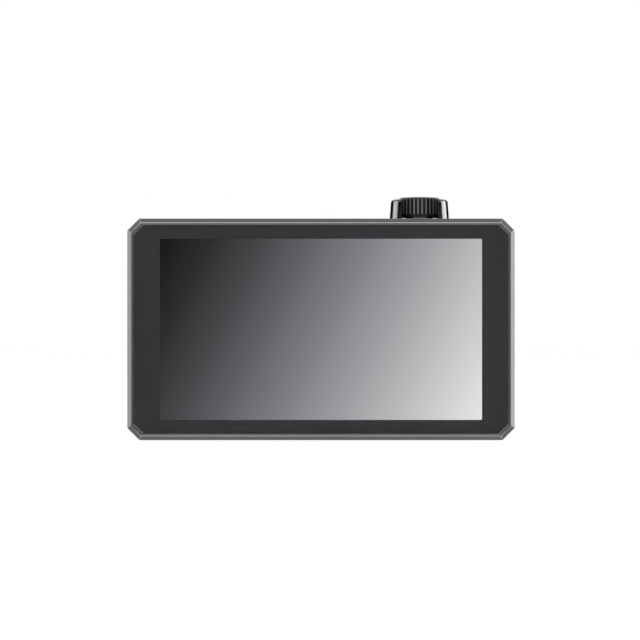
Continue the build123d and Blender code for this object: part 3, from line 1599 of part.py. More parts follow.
nodes = {
    "front_frame": front_frame(),
    "cover_glass": cover_glass(),
    "glass_adhesive": glass_adhesive(),
    "lcd_panel": lcd_panel(),
    "backlight_unit": backlight_unit(),
    "panel_flex": panel_flex(),
    "heat_spreader": heat_spreader(),
    "main_board": main_board(),
    "chip_heatsink": chip_heatsink(),
    "rear_housing": rear_housing(),
    "key_board": key_board(),
    "dial_board": dial_board(),
    "power_board": power_board(),
    "tact_switches": tact_switches(),
    "f1_button": function_key(0),
    "f2_button": function_key(1),
    "f3_button": function_key(2),
    "mode_exit_button": mode_exit_button(),
    "power_button": power_button(),
    "status_light_pipe": status_light_pipe(),
    "encoder_body": encoder_body(),
    "encoder_slider": encoder_slider(),
    "encoder_shaft": encoder_shaft(),
    "encoder_nut": encoder_nut(),
    "dial_guard": dial_guard(),
    "menu_dial": menu_dial(),
    "video_in_shell": video_shell(video_in_z),
    "video_in_tongue": video_tongue(video_in_z),
    "video_out_shell": video_shell(video_out_z),
    "video_out_tongue": video_tongue(video_out_z),
    "type_c_shell": type_c_shell(),
    "type_c_tongue": type_c_tongue(),
    "headphone_jack": headphone_jack(),
    "bnc_in": bnc(bncs[0]),
    "bnc_out": bnc(bncs[1]),
    "bnc_insulators": bnc_insulators(),
    "bnc_contacts": bnc_contacts(),
    "bnc_nuts": panel_nuts(bncs),
    "dc_in": dc_socket(dc_sockets[0]),
    "dc_out": dc_socket(dc_sockets[1]),
    "dc_pins": dc_pins(),
    "dc_nuts": panel_nuts(dc_sockets),
    "top_thread": thread_insert(thread_top),
    "bottom_thread": thread_insert(thread_bottom),
    "side_thread": thread_insert(thread_side),
    "battery_plate": battery_plate(),
    "battery_latch": battery_latch(),
    "latch_spring": latch_spring(),
    "battery_contacts": battery_contacts(),
    "fan_cover": fan_cover(),
    "fan_frame": fan_frame(),
    "fan_rotor": fan_rotor(),
    "vent_screen": vent_screen(),
    "housing_screws": housing_screws(),
    "plate_screws": plate_screws(),
    "fan_screws": fan_screws(),
    "board_screws": board_screws(),
}

os.makedirs("parts", exist_ok=True)
for name, piece in nodes.items():
    export_step(piece, f"parts/{name}.step")
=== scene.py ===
import json
import math

import bmesh
import bpy
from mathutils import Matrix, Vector

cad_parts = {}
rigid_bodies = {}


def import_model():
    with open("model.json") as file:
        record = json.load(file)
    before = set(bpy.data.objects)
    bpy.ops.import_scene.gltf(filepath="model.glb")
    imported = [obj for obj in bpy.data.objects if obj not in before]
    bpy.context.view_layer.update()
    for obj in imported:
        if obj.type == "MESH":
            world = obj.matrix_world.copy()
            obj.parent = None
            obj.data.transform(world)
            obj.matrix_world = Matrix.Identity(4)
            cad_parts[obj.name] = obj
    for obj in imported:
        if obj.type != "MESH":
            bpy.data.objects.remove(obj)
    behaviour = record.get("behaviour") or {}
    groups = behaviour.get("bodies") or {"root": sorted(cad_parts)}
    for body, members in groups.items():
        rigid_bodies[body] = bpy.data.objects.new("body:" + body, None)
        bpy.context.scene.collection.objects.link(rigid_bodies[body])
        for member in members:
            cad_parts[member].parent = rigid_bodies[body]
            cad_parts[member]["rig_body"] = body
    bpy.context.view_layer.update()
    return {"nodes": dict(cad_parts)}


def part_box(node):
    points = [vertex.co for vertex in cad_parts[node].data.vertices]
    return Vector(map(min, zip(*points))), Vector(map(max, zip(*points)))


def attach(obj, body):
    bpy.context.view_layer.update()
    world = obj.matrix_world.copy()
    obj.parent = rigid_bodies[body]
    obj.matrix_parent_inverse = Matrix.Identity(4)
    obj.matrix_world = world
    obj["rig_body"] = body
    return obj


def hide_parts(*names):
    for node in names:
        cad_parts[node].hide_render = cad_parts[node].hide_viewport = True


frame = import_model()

scene = bpy.context.scene
scene.view_settings.view_transform = "Standard"


# ------------------------------------------------------------------ camera
# A long lens, level with the monitor and square to its glass, far enough back that the
# sides of the body all but vanish.

camera_place = (-0.0004, -1.2117, 0.0496)
camera = bpy.data.objects.new("camera", bpy.data.cameras.new("camera"))
camera.data.sensor_width = 36.0
camera.data.lens = 163.8
camera.data.clip_end = 50.0
camera.location = camera_place
camera.rotation_euler = (math.radians(90), 0, 0)
scene.collection.objects.link(camera)
scene.camera = camera


# ------------------------------------------------------------------ studio
# A white sweep with two tall softboxes behind the sides, one overhead and a weak one below.
# A black curtain round the sides and back of the room, a narrow black card in front and a
# black disc above and below show only in polished surfaces.

studio_aim = (0, 0, 0.045)


def softbox(name, place, width, height, power):
    """Oblong area lamp that looks at the middle of the monitor."""
    lamp = bpy.data.lights.new(name, "AREA")
    lamp.shape = "RECTANGLE"
    lamp.size = width
    lamp.size_y = height
    lamp.energy = power
    holder = bpy.data.objects.new(name, lamp)
    holder.location = place
    aim = Vector(studio_aim) - Vector(place)
    holder.rotation_euler = aim.to_track_quat("-Z", "Y").to_euler()
    scene.collection.objects.link(holder)


softbox("softbox_left", (-1.07, 0.50, 0.15), width=0.6, height=0.9, power=9.0)
softbox("softbox_right", (1.07, 0.50, 0.15), width=0.6, height=0.9, power=12.5)
softbox("softbox_overhead", (0.0, -0.85, 1.05), width=0.9, height=0.6, power=3.0)
softbox("softbox_below", (0.0, -0.80, -0.95), width=0.9, height=0.6, power=1.8)


def cloth_panel(work, start, end, low, high, steps, radius=1.7):
    """Upright curved panel between two angles in degrees and two heights."""
    rows = []
    for i in range(steps + 1):
        angle = math.radians(start + (end - start) * i / steps)
        rows.append([work.verts.new((radius * math.cos(angle), radius * math.sin(angle), z))
                     for z in (low, high)])
    for one, two in zip(rows, rows[1:]):
        work.faces.new((one[0], two[0], two[1], one[1]))


def cloth_disc(work, height, radius=0.2, steps=48):
    """Level disc over or under the monitor."""
    turn = 2 * math.pi / steps
    work.faces.new([work.verts.new((radius * math.cos(turn * i), radius * math.sin(turn * i),
                                    height)) for i in range(steps)])


def fed(tree, node, inputs):
    """Sets a node's inputs, each to a value or to another node's output."""
    for name, value in inputs.items():
        if isinstance(value, bpy.types.NodeSocket):
            tree.links.new(value, node.inputs[name])
        else:
            node.inputs[name].default_value = value
    return node


def added(tree, kind, inputs=None, **settings):
    """A new node of a tree, with its settings and its inputs."""
    node = tree.nodes.new(kind)
    for name, value in settings.items():
        setattr(node, name, value)
    return fed(tree, node, inputs or {})


def principled(name, inputs):
    """A new material, its node tree and its shader with some inputs set."""
    material = bpy.data.materials.new(name)
    material.use_nodes = True
    tree = material.node_tree
    return material, tree, fed(tree, tree.nodes["Principled BSDF"], inputs)


curtain_work = bmesh.new()
cloth_panel(curtain_work, start=-55, end=235, low=-1.1, high=0.62, steps=40)
cloth_panel(curtain_work, start=-96.5, end=-83.5, low=-0.5, high=0.24, steps=4)
cloth_disc(curtain_work, height=2.6)
cloth_disc(curtain_work, height=-2.5)
curtain_mesh = bpy.data.meshes.new("black_curtain")
curtain_work.to_mesh(curtain_mesh)
curtain_work.free()
curtain = bpy.data.objects.new("black_curtain", curtain_mesh)
scene.collection.objects.link(curtain)
curtain.visible_camera = False
curtain.visible_diffuse = False
curtain.visible_shadow = False
curtain_cloth = principled("curtain_cloth", {
    "Base Color": (0.01, 0.01, 0.01, 1.0), "Specular IOR Level": 0.0, "Roughness": 1.0})[0]
curtain_mesh.materials.append(curtain_cloth)

world = bpy.data.worlds.new("white_room")
scene.world = world
world.use_nodes = True
room = world.node_tree
dim_room, full_room = 0.48, 1.0
room_rays = room.nodes.new("ShaderNodeLightPath").outputs
room_seen = added(room, "ShaderNodeMath",
                  {0: room_rays["Is Camera Ray"], 1: room_rays["Is Glossy Ray"]},
                  operation="MAXIMUM")
room_clear = added(room, "ShaderNodeMath",
                   {0: room_seen.outputs[0], 1: room_rays["Is Transmission Ray"]},
                   operation="MAXIMUM")
room_level = added(room, "ShaderNodeMapRange",
                   {"To Min": dim_room, "To Max": full_room,
                    "Value": room_clear.outputs[0]})
fed(room, room.nodes["Background"],
    {"Color": (1.0, 1.0, 1.0, 1.0), "Strength": room_level.outputs["Result"]})

floor_half = 4
floor_z = -0.0002
floor_mesh = bpy.data.meshes.new("floor")
floor_mesh.from_pydata([(-floor_half, -floor_half, floor_z), (floor_half, -floor_half, floor_z),
                        (floor_half, floor_half, floor_z), (-floor_half, floor_half, floor_z)],
                       [], [(0, 1, 2, 3)])
floor = bpy.data.objects.new("floor", floor_mesh)
scene.collection.objects.link(floor)
floor_paint = bpy.data.materials.new("floor_paint")
floor_paint.use_nodes = True
paint = floor_paint.node_tree
paint.nodes.remove(paint.nodes["Principled BSDF"])
paint_matt = added(paint, "ShaderNodeBsdfDiffuse", {"Color": (0.9, 0.9, 0.9, 1.0)})
paint_glow = added(paint, "ShaderNodeEmission", {"Strength": 1.3})
paint_white = added(paint, "ShaderNodeMixShader",
                    {"Fac": 0.35, 1: paint_glow.outputs[0], 2: paint_matt.outputs[0]})
paint_rays = paint.nodes.new("ShaderNodeLightPath")
paint_side = paint.nodes.new("ShaderNodeNewGeometry")
paint_above = added(paint, "ShaderNodeMath",
                    {0: paint_rays.outputs["Is Camera Ray"],
                     1: paint_side.outputs["Backfacing"]}, operation="GREATER_THAN")
paint_open = paint.nodes.new("ShaderNodeBsdfTransparent")
paint_shown = added(paint, "ShaderNodeMixShader",
                    {"Fac": paint_above.outputs[0], 1: paint_open.outputs[0],
                     2: paint_white.outputs[0]})
fed(paint, paint.nodes["Material Output"], {"Surface": paint_shown.outputs[0]})
floor_mesh.materials.append(floor_paint)


# ------------------------------------------------------------------ rear housing
# The main shell: machined from aluminium, blasted with fine beads and anodised dark grey.
# Its outer edges are broken with a small chamfer whose lighter colour is a painted highlight.

housing_low, housing_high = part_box("rear_housing")
body_top = housing_high.z
body_middle_z = (housing_low.z + housing_high.z) / 2
half_width = housing_high.x

def sockets(tree, direction, rows):
    """Gives a node group its named inputs or outputs, with their values."""
    for label, kind, value in rows:
        socket = tree.interface.new_socket(label, in_out=direction, socket_type=kind)
        if value is not None:
            socket.default_value = value


def grain_group():
    """Fine grain with a slow drift of tone: height, roughness and colour of a surface."""
    group = bpy.data.node_groups.new("fine_grain", "ShaderNodeTree")
    sockets(group, "INPUT", (("Colour", "NodeSocketColor", (0.1, 0.1, 0.1, 1.0)),
                             ("Drift", "NodeSocketFloat", 0.06),
                             ("Roughness", "NodeSocketFloat", 0.4),
                             ("Roughness Spread", "NodeSocketFloat", 0.05),
                             ("Grains per Metre", "NodeSocketFloat", 6000.0)))
    sockets(group, "OUTPUT", (("Colour", "NodeSocketColor", None),
                              ("Roughness", "NodeSocketFloat", None),
                              ("Height", "NodeSocketFloat", None)))
    entry = group.nodes.new("NodeGroupInput").outputs
    place = group.nodes.new("ShaderNodeTexCoord").outputs["Object"]
    beads = added(group, "ShaderNodeTexNoise",
                  {"Vector": place, "Scale": entry["Grains per Metre"], "Detail": 2.0})
    cloud = added(group, "ShaderNodeTexNoise", {"Vector": place, "Scale": 45.0, "Detail": 4.0})
    both = added(group, "ShaderNodeMath",
                 {0: beads.outputs["Fac"], 1: cloud.outputs["Fac"]}, operation="ADD")
    swing = added(group, "ShaderNodeMath", {0: both.outputs[0], 1: 1.0}, operation="SUBTRACT")
    tone = added(group, "ShaderNodeMath", {0: swing.outputs[0], 1: entry["Drift"], 2: 1.0},
                 operation="MULTIPLY_ADD")
    tint = added(group, "ShaderNodeVectorMath",
                 {0: entry["Colour"], "Scale": tone.outputs[0]}, operation="SCALE")
    rough = added(group, "ShaderNodeMath",
                  {0: swing.outputs[0], 1: entry["Roughness Spread"], 2: entry["Roughness"]},
                  operation="MULTIPLY_ADD")
    added(group, "NodeGroupOutput", {"Colour": tint.outputs[0], "Roughness": rough.outputs[0],
                                     "Height": beads.outputs["Fac"]})
    return group


fine_grain = grain_group()


def grained(name, colour, metallic, roughness, grains=6000.0, depth=0.000004, drift=0.08,
            spread=0.08, coat=0.0, specular=0.5):
    """Material with the fine grain: blasted metal, moulded plastic, paint or print."""
    material, tree, shader = principled(name, {
        "Metallic": metallic, "Coat Weight": coat, "Specular IOR Level": specular})
    grain = added(tree, "ShaderNodeGroup", {
        "Colour": (*colour, 1.0), "Drift": drift, "Roughness": roughness,
        "Roughness Spread": spread, "Grains per Metre": grains}, node_tree=fine_grain)
    bump = added(tree, "ShaderNodeBump", {"Distance": depth, "Height": grain.outputs["Height"]})
    fed(tree, shader, {"Base Color": grain.outputs["Colour"],
                       "Roughness": grain.outputs["Roughness"],
                       "Normal": bump.outputs["Normal"]})
    return material


def merged(node):
    """A CAD node's shape as one closed mesh with flat faces whole again."""
    work = bmesh.new()
    work.from_mesh(frame["nodes"][node].data)
    bmesh.ops.remove_doubles(work, verts=work.verts, dist=0.000002)
    bmesh.ops.dissolve_limit(work, angle_limit=math.radians(0.4), verts=work.verts,
                             edges=work.edges)
    return work


def as_piece(work, name, body, materials, smooth=22.0, broad=0.000012):
    """Turns a bmesh into a piece that rides on a body.

    It is smooth up to an angle in degrees, but a broad flat face keeps its own edges.
    """
    for edge in work.edges:
        angle = math.degrees(edge.calc_face_angle(0.0))
        beside_broad = any(face.calc_area() > broad for face in edge.link_faces)
        edge.smooth = angle < (1.0 if beside_broad else smooth)
    for face in work.faces:
        face.smooth = True
    mesh = bpy.data.meshes.new(name)
    work.to_mesh(mesh)
    work.free()
    for material in materials:
        mesh.materials.append(material)
    piece = bpy.data.objects.new(name, mesh)
    scene.collection.objects.link(piece)
    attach(piece, body)
    return piece


def edges_broken(work, width, wanted=None, faint=None, sharpest=24.0, faintest=4.0):
    """Chamfers the outward edges of a mesh; the new faces take the second material.

    Where faint is true of an edge's middle, also a slight edge is chamfered.
    """
    edges = []
    for edge in work.edges:
        if not (edge.is_manifold and edge.is_convex):
            continue
        middle = (edge.verts[0].co + edge.verts[1].co) / 2
        least = faintest if faint is not None and faint(middle) else sharpest
        if edge.calc_face_angle(0) > math.radians(least) and (wanted is None
                                                              or wanted(middle)):
            edges.append(edge)
    bmesh.ops.bevel(work, geom=edges, offset=width, offset_type="OFFSET", segments=1,
                    profile=0.5, affect="EDGES", clamp_overlap=False, material=1)
    return work


def node_body(node):
    """The body that a CAD node rides on."""
    return frame["nodes"][node]["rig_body"]


def machined(node, name, materials, width, wanted=None, faint=None):
    """A CAD node shown as a merged copy with its edges broken."""
    piece = as_piece(edges_broken(merged(node), width, wanted, faint), name, node_body(node),
                     materials)
    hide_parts(node)
    return piece


housing_anodised = grained("housing_anodised", (0.052, 0.0515, 0.0545), 0.25, 0.38,
                           grains=5200.0, depth=0.000006, specular=0.48)
# The chamfer faces' lighter colour is a painted highlight.
housing_edge = grained("housing_edge", (0.30, 0.30, 0.31), 0.75, 0.34, grains=5200.0,
                       depth=0.000002)


def outside_the_hollow(point):
    """True for a point on the housing's outer surfaces, not in the room for the boards.

    The seats of the corner screws and of the power key lie too near other edges.
    """
    hollow_left, hollow_right, hollow_back = -0.0760, 0.0770, 0.0074
    hollow_bottom, hollow_top = 0.0032, 0.0883
    seat_front, seat_x, seat_reach = 0.0060, 0.0700, 0.0408
    corner_bottom, corner_top = 0.0098, 0.0820
    key_floor_x, key_bottom, key_top = 0.079, 0.0655, 0.0783
    within = (hollow_left < point.x < hollow_right and point.y < hollow_back
              and hollow_bottom < point.z < hollow_top)
    at_a_screw = (point.y > seat_front and abs(point.x) > seat_x
                  and not corner_bottom < point.z < corner_top
                  and abs(point.z - body_middle_z) < seat_reach)
    at_the_key = abs(point.x - key_floor_x) < 0.0001 and key_bottom < point.z < key_top
    return not (within or at_a_screw or at_the_key)


def on_the_dish_rim(point):
    """True on the rim of the shallow dish round the mode key."""
    dish_x, dish_y, dish_r = 0.0615, 0.00145, 0.0067
    reach = math.hypot(point.x - dish_x, point.y - dish_y)
    return point.z > body_top - 0.0001 and abs(reach - dish_r) < 0.0005


machined("rear_housing", "housing_shell", [housing_anodised, housing_edge],
         0.00018, outside_the_hollow, on_the_dish_rim)


# ------------------------------------------------------------------ front frame
# A machined ring with a sloped outer strip and a thin lip round the glass, anodised a
# lighter grey than the housing. Four long screws from the back hold it.

frame_anodised = grained("frame_anodised", (0.120, 0.122, 0.127), 0.78, 0.32, grains=5200.0,
                         depth=0.000004)
# The chamfer faces' lighter colour is a painted highlight.
frame_edge_painted_highlight = grained("frame_edge_painted_highlight", (0.36, 0.365, 0.37), 0.8, 0.42, grains=5200.0,
                     depth=0.000002)


def on_the_strip(point):
    """True for the outer strip and the lip, not for the hidden tenon."""
    tenon_y = -0.0095
    return point.y < tenon_y


machined("front_frame", "front_ring", [frame_anodised, frame_edge_painted_highlight], 0.00016,
         on_the_strip)


# ------------------------------------------------------------------ cover glass
# Flat glass with a fine ground bevel, held in the frame's rebate by a ring of foam tape. A
# black border is printed on its back, and a thin coating leaves a faint tint.

glass_clear, glass_tree, glass_shader = principled("glass_clear", {
    "Base Color": (1.0, 1.0, 1.0, 1.0), "Transmission Weight": 1.0, "IOR": 1.4,
    "Roughness": 0.0})
glass_place = glass_tree.nodes.new("ShaderNodeTexCoord").outputs["Object"]
glass_coating = added(glass_tree, "ShaderNodeTexNoise",
                      {"Scale": 9.0, "Detail": 1.0, "Vector": glass_place})
glass_tint = added(glass_tree, "ShaderNodeMix",
                   {"A": (0.985, 0.995, 0.99, 1.0), "B": (1.0, 1.0, 1.0, 1.0),
                    "Factor": glass_coating.outputs["Fac"]}, data_type="RGBA")
fed(glass_tree, glass_shader, {"Base Color": glass_tint.outputs["Result"]})


def finish(nodes, material):
    """Gives CAD nodes that stay as they are their material."""
    for node in nodes:
        mesh = frame["nodes"][node].data
        mesh.materials.clear()
        mesh.materials.append(material)


finish(["cover_glass"], glass_clear)

border_ink = grained("border_ink", (0.043, 0.045, 0.050), 0.0, 0.6, grains=3000.0,
                     depth=0.000001, drift=0.1)
glass_low, glass_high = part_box("cover_glass")
window_w = 0.1328
window_h = 0.0747
window_corner = 0.0004
border_corner = 0.0041
border_inset = 0.0002
ink_front, ink_back = 0.00006, 0.00001


def cut_ring(outer, inner, near, far):
    """Closed flat ring between two loops of x and z with as many points each."""
    work = bmesh.new()
    rows = [[work.verts.new((x, y, z)) for x, z in loop]
            for loop, y in ((outer, near), (inner, near), (inner, far), (outer, far))]
    count = len(outer)
    for a, b in ((0, 1), (1, 2), (2, 3), (3, 0)):
        for i in range(count):
            j = (i + 1) % count
            work.faces.new((rows[a][i], rows[a][j], rows[b][j], rows[b][i]))
    bmesh.ops.recalc_face_normals(work, faces=work.faces)
    return work


def cut_loop(low, high, cut):
    """Rectangle with 45 degree corners as points of x and z."""
    (x0, z0), (x1, z1) = low, high
    return [(x0 + cut, z0), (x1 - cut, z0), (x1, z0 + cut), (x1, z1 - cut),
            (x1 - cut, z1), (x0 + cut, z1), (x0, z1 - cut), (x0, z0 + cut)]


border_outer = cut_loop((glass_low.x + border_inset, glass_low.z + border_inset),
                        (glass_high.x - border_inset, glass_high.z - border_inset),
                        border_corner)
border_inner = cut_loop((-window_w / 2, body_middle_z - window_h / 2),
                        (window_w / 2, body_middle_z + window_h / 2), window_corner)
as_piece(cut_ring(border_outer, border_inner, glass_high.y - ink_front,
                  glass_high.y - ink_back),
         "printed_border", "root", [border_ink])


# ------------------------------------------------------------------ screen
# The liquid crystal cell behind the glass, six inches across. It glows with a painted
# reflection: an emitted ramp from black at its upper left to near white at its lower right
# stands in for light mirrored in the dark screen.

# The emitted ramp set up below is a painted reflection on the dark screen, not a picture it
# shows.
screen_painted_reflection, screen_tree, screen_shader = principled("screen_painted_reflection", {
    "Base Color": (0.004, 0.004, 0.005, 1.0), "Roughness": 0.5, "Specular IOR Level": 0.1,
    "Emission Strength": 1.0})
ramp_start, ramp_across, ramp_down = 0.627, 5.83, -2.89
screen_place = screen_tree.nodes.new("ShaderNodeTexCoord").outputs["Object"]
screen_axes = added(screen_tree, "ShaderNodeSeparateXYZ", {0: screen_place}).outputs
screen_across = added(screen_tree, "ShaderNodeMath",
                      {0: screen_axes["X"], 1: ramp_across, 2: ramp_start},
                      operation="MULTIPLY_ADD")
screen_down = added(screen_tree, "ShaderNodeMath",
                    {0: screen_axes["Z"], 1: ramp_down, 2: screen_across.outputs[0]},
                    operation="MULTIPLY_ADD")
painted_reflection_ramp = added(screen_tree, "ShaderNodeValToRGB", {"Fac": screen_down.outputs[0]})
ramp_stops = 9
ramp_black = 17
ramp_white = 238
display_gamma = 2.2
blue_swell = 0.10
stops = painted_reflection_ramp.color_ramp.elements
while len(stops) < ramp_stops:
    stops.new(0.5)
for i, stop in enumerate(sorted(stops, key=lambda s: s.position)):
    stop.position = i / (ramp_stops - 1)
for i in range(ramp_stops):
    share = i / (ramp_stops - 1)
    tone = (ramp_black + (ramp_white - ramp_black) * share) / 255
    level = tone ** display_gamma
    cool = 1.0 + blue_swell * math.sin(math.pi * min(1.0, share * 1.25))
    stops[i].color = (level, level * 0.99, level * cool, 1.0)
fed(screen_tree, screen_shader, {"Emission Color": painted_reflection_ramp.outputs["Color"]})
finish(["lcd_panel"], screen_painted_reflection)


# ------------------------------------------------------------------ screen stack
# What sits behind the screen: the foam tape, the pressed tray of the backlight, its amber
# ribbon and the aluminium plate that takes the heat.

foam_black = grained("foam_black", (0.018, 0.018, 0.019), 0.0, 0.9, grains=2500.0,
                     depth=0.00004, drift=0.3)
tray_steel = grained("tray_steel", (0.55, 0.55, 0.54), 1.0, 0.35, grains=1500.0,
                     depth=0.000003)
ribbon_amber = grained("ribbon_amber", (0.42, 0.17, 0.02), 0.0, 0.28, grains=700.0,
                       depth=0.000002, coat=0.3)
plate_aluminium = grained("plate_aluminium", (0.62, 0.62, 0.62), 1.0, 0.42, grains=2400.0,
                          depth=0.000004)
sink_black = grained("sink_black", (0.035, 0.035, 0.037), 0.6, 0.5, grains=4000.0)
finish(["glass_adhesive"], foam_black)
finish(["backlight_unit"], tray_steel)
finish(["panel_flex"], ribbon_amber)
finish(["heat_spreader"], plate_aluminium)
finish(["chip_heatsink"], sink_black)


# ------------------------------------------------------------------ circuit boards
# Glass fibre boards under green solder mask, with copper tracks that show as slightly
# raised and lighter lines.

board_mask, board_tree, board_shader = principled("board_mask", {"Roughness": 0.32})
board_place = board_tree.nodes.new("ShaderNodeTexCoord").outputs["Object"]
board_tracks = added(board_tree, "ShaderNodeTexVoronoi",
                     {"Scale": 320.0, "Vector": board_place}, distance="CHEBYCHEV",
                     feature="DISTANCE_TO_EDGE")
board_step = added(board_tree, "ShaderNodeMapRange",
                   {"From Min": 0.05, "From Max": 0.08, "To Min": 1.0, "To Max": 0.0,
                    "Value": board_tracks.outputs["Distance"]})
board_colour = added(board_tree, "ShaderNodeMix",
                     {"A": (0.008, 0.075, 0.032, 1.0), "B": (0.02, 0.16, 0.07, 1.0),
                      "Factor": board_step.outputs["Result"]}, data_type="RGBA")
board_bump = added(board_tree, "ShaderNodeBump",
                   {"Distance": 0.00003, "Height": board_step.outputs["Result"]})
fed(board_tree, board_shader, {"Base Color": board_colour.outputs["Result"],
                               "Normal": board_bump.outputs["Normal"]})
finish(["main_board", "key_board", "dial_board", "power_board"], board_mask)

switch_plastic = grained("switch_plastic", (0.028, 0.028, 0.028), 0.0, 0.5)
screw_zinc = grained("screw_zinc", (0.55, 0.55, 0.53), 1.0, 0.3, grains=3000.0)
finish(["tact_switches"], switch_plastic)
finish(["board_screws"], screw_zinc)


# ------------------------------------------------------------------ top keys
# Four moulded keys: three in the shallow tray on the left and one in the dish beside the
# dial. Satin plastic the colour of the housing, with the print beside them.

key_plastic = grained("key_plastic", (0.050, 0.050, 0.053), 0.0, 0.38, grains=4200.0,
                      depth=0.000008, specular=0.35)
# The chamfer faces' lighter colour is a painted highlight.
key_edge_painted_highlight = grained("key_edge_painted_highlight", (0.085, 0.085, 0.09), 0.0, 0.32, grains=4200.0)
for key in ("f1", "f2", "f3", "mode_exit"):
    machined(f"{key}_button", f"{key}_key_cap", [key_plastic, key_edge_painted_highlight], 0.00008)

label_ink = grained("label_ink", (0.86, 0.86, 0.86), 0.0, 0.55, grains=4000.0,
                    depth=0.000002, drift=0.03)
ink_lift = 0.00002


def lettering(words, name, height, centre, along, up, body, bold=0.012, spacing=1.05):
    """Printed words: a thin raised mesh, centred on a point, with its two directions."""
    curve = bpy.data.curves.new(name, "FONT")
    curve.body = words
    curve.align_x = "CENTER"
    curve.align_y = "CENTER"
    curve.size = 1.0
    curve.offset = bold
    curve.space_character = spacing
    curve.extrude = 0.02
    curve.resolution_u = 6
    text = bpy.data.objects.new(name, curve)
    scene.collection.objects.link(text)
    bpy.context.view_layer.update()
    shape = bpy.data.meshes.new_from_object(
        text.evaluated_get(bpy.context.evaluated_depsgraph_get()))
    bpy.data.objects.remove(text)
    work = bmesh.new()
    work.from_mesh(shape)
    bpy.data.meshes.remove(shape)
    bmesh.ops.remove_doubles(work, verts=work.verts, dist=0.00001)
    xs = [v.co.x for v in work.verts]
    ys = [v.co.y for v in work.verts]
    middle = Vector(((min(xs) + max(xs)) / 2, (min(ys) + max(ys)) / 2, 0))
    scale = height / (max(ys) - min(ys))
    x_axis, y_axis = Vector(along), Vector(up)
    z_axis = x_axis.cross(y_axis)
    for vert in work.verts:
        flat = (vert.co - middle) * scale
        rise = ink_lift if vert.co.z > 0 else -ink_lift
        vert.co = Vector(centre) + x_axis * flat.x + y_axis * flat.y + z_axis * rise
    return as_piece(work, name, body, [label_ink])


label_y = -0.0078
label_height = 0.0021
mode_label_x = 0.0613
for number in (1, 2, 3):
    key_low, key_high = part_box(f"f{number}_button")
    lettering(f"F{number}", f"label_f{number}", label_height,
              ((key_low.x + key_high.x) / 2, label_y, body_top), (1, 0, 0), (0, 1, 0), "root")
lettering("MODE/EXIT", "label_mode_exit", label_height, (mode_label_x, label_y, body_top),
          (1, 0, 0), (0, 1, 0), "root")


# ------------------------------------------------------------------ menu dial
# A turned and knurled aluminium knob, anodised black, on the encoder's shaft. The knurl's
# crests are painted lighter as a painted highlight, and its top has fine lathe rings, the word
# and a tapering arc.


def turned(name, colour, metallic, roughness, centre, axis, rings=9000.0, depth=0.000003,
           drift=0.08, specular=0.5):
    """Lathe-turned metal: fine rings about a line through centre, along axis Y or Z."""
    material, tree, shader = principled(name, {
        "Metallic": metallic, "Specular IOR Level": specular})
    place = tree.nodes.new("ShaderNodeTexCoord").outputs["Object"]
    shift = added(tree, "ShaderNodeMapping", {
        "Location": [-c for c in centre], "Vector": place,
        "Scale": (1, 0, 1) if axis == "Y" else (1, 1, 0)})
    reach = added(tree, "ShaderNodeVectorMath", {0: shift.outputs[0]}, operation="LENGTH")
    marks = added(tree, "ShaderNodeTexNoise",
                  {"Scale": rings, "Detail": 1.0, "W": reach.outputs["Value"]},
                  noise_dimensions="1D")
    grain = added(tree, "ShaderNodeGroup",
                  {"Colour": (*colour, 1.0), "Drift": drift, "Roughness": roughness},
                  node_tree=fine_grain)
    bump = added(tree, "ShaderNodeBump", {"Distance": depth, "Height": marks.outputs["Fac"]})
    fed(tree, shader, {"Base Color": grain.outputs["Colour"],
                       "Roughness": grain.outputs["Roughness"],
                       "Normal": bump.outputs["Normal"]})
    return material


dial_low, dial_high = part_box("menu_dial")
dial_centre = (dial_low + dial_high) / 2
knob_black = turned("knob_black", (0.014, 0.014, 0.015), 0.3, 0.36, dial_centre, "Z",
                    specular=0.3)
knob_crest_painted_highlight = turned("knob_crest_painted_highlight", (0.220, 0.220, 0.228), 0.35, 0.32, dial_centre, "Z")
knob_edge = turned("knob_edge", (0.014, 0.014, 0.015), 0.5, 0.30, dial_centre, "Z",
                   specular=0.2)
crest_reach = 0.0090
crest_drop = 0.0015
rim_drop = 0.0006
dial_top = dial_high.z
knob = machined("menu_dial", "menu_knob", [knob_black, knob_edge, knob_crest_painted_highlight],
                0.00006, lambda point: point.z > dial_top - rim_drop)
# Faces out on the knurl's crests take the lighter crest colour: a painted highlight.
for face in knob.data.polygons:
    reach = math.dist(face.center[:2], dial_centre[:2])
    if reach > crest_reach and face.center.z < dial_top - crest_drop:
        face.material_index = 2

lettering("MENU", "label_menu", label_height, (dial_centre.x, dial_centre.y, dial_top),
          (1, 0, 0), (0, 1, 0), "dial")


def arc_band(radius, start, end, width_start, width_end, steps=48):
    """Pairs of points along an arc whose width tapers, angles in degrees."""
    band = []
    for i in range(steps + 1):
        share = i / steps
        angle = math.radians(start + (end - start) * share)
        half = (width_start + (width_end - width_start) * share ** 0.8) / 2
        ray = Vector((math.cos(angle), math.sin(angle)))
        band.append((ray * (radius - half), ray * (radius + half)))
    return band


def block_band(low, high):
    """Pairs of points for a plain printed rectangle."""
    return [(Vector(low), Vector((high[0], low[1]))), (Vector((low[0], high[1])), Vector(high))]


